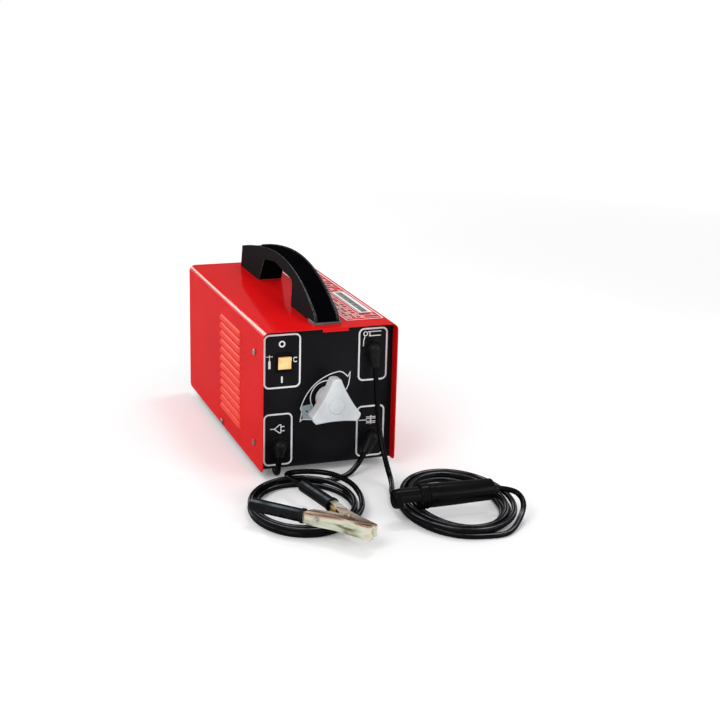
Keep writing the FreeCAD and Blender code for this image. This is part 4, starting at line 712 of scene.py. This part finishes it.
class Print:
    """Collects flat outlines, then makes one piece of ink from them. place puts a flat point on its face,
    lifted by a height."""

    def __init__(self, place):
        self.place = place
        self.faces = []

    def fill(self, points):
        self.faces.append([Vector(p) for p in points])

    def line(self, points, width, closed=False):
        """A strip of a given width along the points, mitred at the corners."""
        pts = [Vector(p) for p in points]
        count = len(pts)
        left, right = [], []
        for i, p in enumerate(pts):
            before = pts[i - 1] if closed or i else p
            after = pts[(i + 1) % count] if closed or i < count - 1 else p
            into = (p - before).normalized() if closed or i else (after - p).normalized()
            out = (after - p).normalized() if after != p else into
            along = (into + out).normalized()
            reach = width / 2 / max(SHARPEST_MITRE, along.dot(into))
            side = Vector((-along.y, along.x)) * reach
            left.append(p + side)
            right.append(p - side)
        for i in range(count if closed else count - 1):
            k = (i + 1) % count
            self.faces.append([left[i], right[i], right[k], left[k]])

    def make(self, name, material, slot):
        mesh = bmesh.new()
        made = {}
        for outline in self.faces:
            corners = []
            for p in outline:
                key = (round(p.x, 4), round(p.y, 4))
                if key not in made:
                    made[key] = mesh.verts.new(self.place(p, 0.0))
                corners.append(made[key])
            if mesh.faces.get(corners) is None:
                mesh.faces.new(corners)
        flat = Vector((0, 0))
        raise_faces(mesh, list(mesh.faces), self.place(flat, INK_T) - self.place(flat, 0.0))
        solid_piece(name, mesh, material, "case")


def arc(centre, radius, start, end, steps):
    angles = [math.radians(start + (end - start) * i / steps) for i in range(steps + 1)]
    return [(centre[0] + radius * math.cos(a), centre[1] + radius * math.sin(a)) for a in angles]


def through(first, middle, last, steps):
    """An arc through three points."""
    a, b, c = (Vector(p) for p in (first, middle, last))
    d = 2 * (a.x * (b.y - c.y) + b.x * (c.y - a.y) + c.x * (a.y - b.y))
    aa, bb, cc = (p.length_squared for p in (a, b, c))
    x = (aa * (b.y - c.y) + bb * (c.y - a.y) + cc * (a.y - b.y)) / d
    y = (aa * (c.x - b.x) + bb * (a.x - c.x) + cc * (b.x - a.x)) / d
    centre = Vector((x, y))
    turns = [math.degrees(math.atan2(p.y - y, p.x - x)) for p in (a, b, c)]
    middle_turn = (turns[1] - turns[0]) % 360
    sweep = (turns[2] - turns[0]) % 360
    if middle_turn > sweep:
        sweep -= 360
    return arc((x, y), (a - centre).length, turns[0], turns[0] + sweep, steps)


def rounded(x0, x1, z0, z1, r):
    points = []
    centres = [(x1 - r, z1 - r), (x0 + r, z1 - r), (x0 + r, z0 + r), (x1 - r, z0 + r)]
    for i, centre in enumerate(centres):
        points += arc(centre, r, 90 * i, 90 * (i + 1), 6)
    return points


# Left, right, low and high edge of the line round each frame on the panel
FRAMES = [(-85.6, -37.6, 110.9, 181.9), (-85.5, -47.9, 4.6, 74.5), (44.0, 82.6, 111.5, 181.9),
          (43.4, 81.1, 4.6, 74.4)]
FRAME_R = 6.5
# Widths of the lines
FRAME_LINE = 2.3
OFF_LINE = 1.9
ON_LINE = 2.3
FINE_LINE = 0.9
LAMP_LINE = 3.1
DEGREE_RING_LINE = 0.7
DEGREE_LINE = 1.3
SIGN_LINE = 1.2
PRONG_LINE = SIGN_LINE * 0.9
SPINE_LINE = SIGN_LINE * 1.4
# Middle lines of the off sign, the on sign and the lamp sign
OFF_X = -62.0
ON_X = -61.9
LAMP_X = -78.9


def print_switch_signs(marks):
    marks.line(arc((OFF_X, 169.6), 3.5, 0, 345, 23), OFF_LINE, closed=True)
    marks.line([(ON_X, 126.0), (ON_X, 117.2)], ON_LINE)


def print_lamp_signs(marks):
    """The overload lamp and the degree sign beside the switch."""
    marks.line([(LAMP_X, 156.0), (LAMP_X, 147.8)], FINE_LINE)
    marks.line([(-83.4, 153.6), (-74.4, 153.6)], FINE_LINE)
    marks.line([(LAMP_X, 147.8), (LAMP_X, 137.2)], LAMP_LINE)
    marks.line(arc((-48.3, 150.2), 1.1, 0, 330, 11), DEGREE_RING_LINE, closed=True)
    marks.line(arc((-43.6, 147.6), 3.0, 50, 310, 12), DEGREE_LINE)


def print_plug_sign(marks):
    marks.line([(-77.2, 54.6), (-71.5, 54.4), (-64.6, 59.8), (-62.6, 59.8), (-62.6, 48.6), (-64.6, 48.6),
                (-71.5, 54.0)], SIGN_LINE)
    for z in (57.0, 51.2):
        marks.line([(-62.2, z), (-57.6, z)], SIGN_LINE)


def print_holder_sign(marks):
    marks.line(arc((52.6, 175.2), 2.7, 0, 345, 15), SIGN_LINE, closed=True)
    marks.line([(55.6, 177.6), (74.6, 177.6)], SIGN_LINE)
    marks.line([(57.6, 171.9), (74.2, 171.9)], SIGN_LINE)
    marks.line([(58.6, 177.0), (58.6, 172.5)], SIGN_LINE)
    marks.line([(51.8, 172.0), (50.2, 166.0), (49.8, 158.0)], SIGN_LINE)


def print_clamp_sign(marks):
    marks.line([(45.6, 55.4), (57.0, 55.0)], SIGN_LINE)
    for z in (59.2, 57.0, 53.0, 50.8):
        marks.line([(56.4, z), (69.6, z - 0.3)], PRONG_LINE)
    marks.line([(63.0, 61.0), (63.0, 49.2)], SPINE_LINE)


def print_panel():
    marks = Print(on_panel)
    for frame_edges in FRAMES:
        marks.line(rounded(*frame_edges, FRAME_R), FRAME_LINE, closed=True)
    print_switch_signs(marks)
    print_lamp_signs(marks)
    print_plug_sign(marks)
    print_holder_sign(marks)
    print_clamp_sign(marks)
    marks.make("panel_marks", WHITE_INK, "grey_plastic")


# Dial arrow round the knob, which swells from a filled low end to a pointed high end
KNOB_Z = 92.5
DIAL_LINE = 1.25
DIAL_INNER_R = 22.6
DIAL_TIP_LOW = (-36.4, -30.6)
DIAL_TIP_HIGH = (32.2, 32.0)
DOT_R = 1.5


def round_knob(points):
    return [(x, z + KNOB_Z) for x, z in points]


def print_dial():
    rim = through((-34.0, -7.2), (-16.6, 18.9), (17.5, 34.0), 16)
    rim += [(22.2, 32.2), (27.0, 28.0), (29.0, 26.0), DIAL_TIP_HIGH, (31.8, 24.9), (30.3, 15.4),
            (27.4, 8.7), (21.8, 6.0)]
    inside = arc((0, 0), DIAL_INNER_R, 15, 203, 24)
    head = [(-20.0, -9.0), (-17.5, -24.0), (-21.4, -29.4), (-33.0, -28.0), DIAL_TIP_LOW, (-34.2, -18.0),
            (-36.0, -12.6)]
    arrow = Print(on_panel)
    arrow.line(round_knob(rim + inside + head), DIAL_LINE, closed=True)
    arrow.make("dial_arrow", WHITE_INK, "grey_plastic")
    low_end = Print(on_panel)
    low_end.fill(round_knob([(-33.2, -9.4), (-21.4, -8.0), (-19.2, -12.0), (-18.0, -24.0), (-21.8, -28.6),
                             (-32.6, -27.2), (-34.4, -18.0), (-35.0, -12.8)]))
    low_end.make("dial_low_end", BLUE_INK, "grey_plastic")
    dot = Print(on_panel_ink)
    dot.fill(round_knob(arc((-27.2, -17.6), DOT_R, 0, 345, 23)))
    dot.make("dial_dot", DARK_INK, "black_plastic")


print_panel()
print_dial()

# Printing on the top: the window's frame, a table with plain entries, and the border round both
PANE_EDGE = 3.2
PANE_BAND = 3.4
PANE_RULE_GAP = 1.4
RIGHT_RULE = 1.4
LEFT_RULE = 1.0
SCALE_STEPS = 12
SCALE_LINE = 0.8
SCALE_SHORT = 2.2
SCALE_LONG = 3.8
# Left, right, front and back edge of the border, and the radius of its corners
LABEL = (31.5, 82.3, -168.0, 192.0)
LABEL_R = 2.0
LABEL_LINE = 1.6
# Upright rules of the table, the columns that it gains past the window, and its rows
TABLE_X = (35.0, 41.5, 48.5, 56.0)
PAST_WINDOW_X = (64.0, 72.0, 79.5)
ROW_FIRST = -160.0
ROW_PITCH = 11.0
ROWS = 31
ROW_LINE = 1.1
COLUMN_LINE = 0.9
# Two bars to an entry, in three lengths
ENTRY_LINE = 2.6
ENTRY_BARS = (3.4, 7.8)
ENTRY_INSET = 1.3
ENTRY_LEN = 3.2
ENTRY_STEP = 0.8
# Left, right, front and back edge of the window's frame
WINDOW = (PANE_LOW.x + PANE_EDGE, PANE_HIGH.x - PANE_EDGE, PANE_LOW.y + PANE_EDGE, PANE_HIGH.y - PANE_EDGE)


def print_window():
    x0, x1, y0, y1 = WINDOW
    ink = Print(on_pane)
    inset = PANE_BAND / 2
    ink.line([(x0 + inset, y0 + inset), (x1 - inset, y0 + inset), (x1 - inset, y1 - inset),
              (x0 + inset, y1 - inset)], PANE_BAND, closed=True)
    for i in range(SCALE_STEPS + 1):
        y = y0 + PANE_BAND + (y1 - y0 - 2 * PANE_BAND) * i / SCALE_STEPS
        length = SCALE_LONG if i % 2 else SCALE_SHORT
        ink.line([(x0 + PANE_BAND, y), (x0 + PANE_BAND + length, y)], SCALE_LINE)
    ink.make("window_frame", WHITE_INK, "grey_plastic")


def print_table():
    x0, x1, y0, y1 = WINDOW
    light, dark, cream = Print(on_top), Print(on_top), Print(on_top)
    light.line(rounded(*LABEL, LABEL_R), LABEL_LINE, closed=True)
    for x, width in ((x1 + PANE_RULE_GAP, RIGHT_RULE), (x0 - PANE_RULE_GAP, LEFT_RULE)):
        light.line([(x, y0), (x, y1)], width)
    rows = [ROW_FIRST + ROW_PITCH * i for i in range(ROWS)]
    for i, y in enumerate(rows):
        beside_window = y0 - ROW_PITCH < y < y1
        columns = TABLE_X if beside_window else TABLE_X + PAST_WINDOW_X
        light.line([(columns[0], y), (columns[-1], y)], ROW_LINE)
        for k, x in enumerate(columns[:-1]):
            entry = dark if (i + k) % 3 else cream
            start = x + ENTRY_INSET
            end = start + ENTRY_LEN + ENTRY_STEP * ((2 * i + k) % 3)
            for bar in ENTRY_BARS:
                entry.line([(start, y + bar), (end, y + bar)], ENTRY_LINE)
    for x in TABLE_X:
        light.line([(x, rows[0]), (x, rows[-1])], COLUMN_LINE)
    light.make("label_rules", WHITE_INK, "grey_plastic")
    dark.make("label_entries", DARK_INK, "black_plastic")
    cream.make("label_pale_entries", CREAM_INK, "grey_plastic")


print_window()
print_table()

# Studio: pale floor that passes into a white surround, and soft lamps
FLOOR_SIZE = 80.0
FLOOR_GLOW = 0.11
FADE_FROM = 0.8
FADE_TO = 2.2
SURROUND_LIGHT = 0.48


def seen_directly(tree):
    """1 where the eye, a mirror or a pane looks straight at the surface."""
    path = tree.nodes.new("ShaderNodeLightPath")
    mirrored = maths(tree, "MAXIMUM", path.outputs["Is Glossy Ray"], path.outputs["Is Transmission Ray"])
    return maths(tree, "MAXIMUM", path.outputs["Is Camera Ray"], mirrored)


def mix_shaders(tree, factor, first, second):
    node = tree.nodes.new("ShaderNodeMixShader")
    tree.links.new(factor, node.inputs["Fac"])
    tree.links.new(first, node.inputs[1])
    tree.links.new(second, node.inputs[2])
    return node.outputs["Shader"]


def make_world():
    world = bpy.data.worlds.new("studio")
    bpy.context.scene.world = world
    world.use_nodes = True
    tree = world.node_tree
    tree.nodes.clear()
    lights = []
    for strength in (SURROUND_LIGHT, 1.0):
        node = tree.nodes.new("ShaderNodeBackground")
        node.inputs["Color"].default_value = (1, 1, 1, 1)
        node.inputs["Strength"].default_value = strength
        lights.append(node.outputs["Background"])
    out = tree.nodes.new("ShaderNodeOutputWorld")
    tree.links.new(mix_shaders(tree, seen_directly(tree), *lights), out.inputs["Surface"])


def make_floor():
    mesh = bmesh.new()
    bmesh.ops.create_grid(mesh, x_segments=8, y_segments=8, size=FLOOR_SIZE / 2)
    floor = mesh_object("floor", mesh)
    floor.location = (0, 0, FLOOR * MM)
    material = bpy.data.materials.new("studio_floor")
    material.use_nodes = True
    tree = material.node_tree
    shader = tree.nodes["Principled BSDF"]
    tone = ramp(tree, noise(tree, 1.5), [srgb(245, 245, 246), srgb(250, 250, 251)])
    tree.links.new(tone, shader.inputs["Base Color"])
    shader.inputs["Roughness"].default_value = 0.6
    shader.inputs["Specular IOR Level"].default_value = 0.2
    direct = seen_directly(tree)
    glow = tree.nodes.new("ShaderNodeEmission")
    tree.links.new(spread(tree, direct, 0.0, FLOOR_GLOW, 0.0, 1.0), glow.inputs["Strength"])
    # The lit floor near the part passes into plain white further out.
    near = tree.nodes.new("ShaderNodeAddShader")
    tree.links.new(shader.outputs["BSDF"], near.inputs[0])
    tree.links.new(glow.outputs["Emission"], near.inputs[1])
    coords = tree.nodes.new("ShaderNodeTexCoord")
    distance = tree.nodes.new("ShaderNodeVectorMath")
    distance.operation = "LENGTH"
    tree.links.new(coords.outputs["Object"], distance.inputs[0])
    away = spread(tree, distance.outputs["Value"], 0.0, 1.0, FADE_FROM, FADE_TO)
    white = tree.nodes.new("ShaderNodeEmission")
    far = multiply(tree, direct, away)
    surface = mix_shaders(tree, far, near.outputs["Shader"], white.outputs["Emission"])
    tree.links.new(surface, tree.nodes["Material Output"].inputs["Surface"])
    paint(floor, material)


def make_lamp(name, place, target, size, power):
    data = bpy.data.lights.new(name, "AREA")
    data.shape = "RECTANGLE"
    data.size, data.size_y = size
    data.energy = power
    lamp = link(name, data)
    lamp.location = place
    lamp.rotation_mode = "QUATERNION"
    lamp.rotation_quaternion = (Vector(target) - Vector(place)).to_track_quat("-Z", "Y")


make_world()
make_floor()
# Place, point that it faces, width and height in metres, and power in watts
make_lamp("key", (-1.7, -1.5, 1.9), (0, -0.1, 0.08), (1.4, 1.4), 28)
make_lamp("fill", (1.5, -2.0, 1.0), (0, -0.1, 0.08), (1.6, 1.2), 19)
make_lamp("top", (0.65, 0.35, 2.1), (0, -0.3, 0.0), (0.5, 0.5), 8)
make_lamp("rim", (-1.35, 2.9, 0.65), (-0.09, 0.0, 0.12), (0.8, 0.9), 16)
make_lamp("edge", (-0.73, 2.9, 1.44), (-0.09, 0.0, 0.19), (0.6, 0.3), 26)
bpy.context.scene.view_settings.view_transform = "Standard"

bpy.context.view_layer.update()
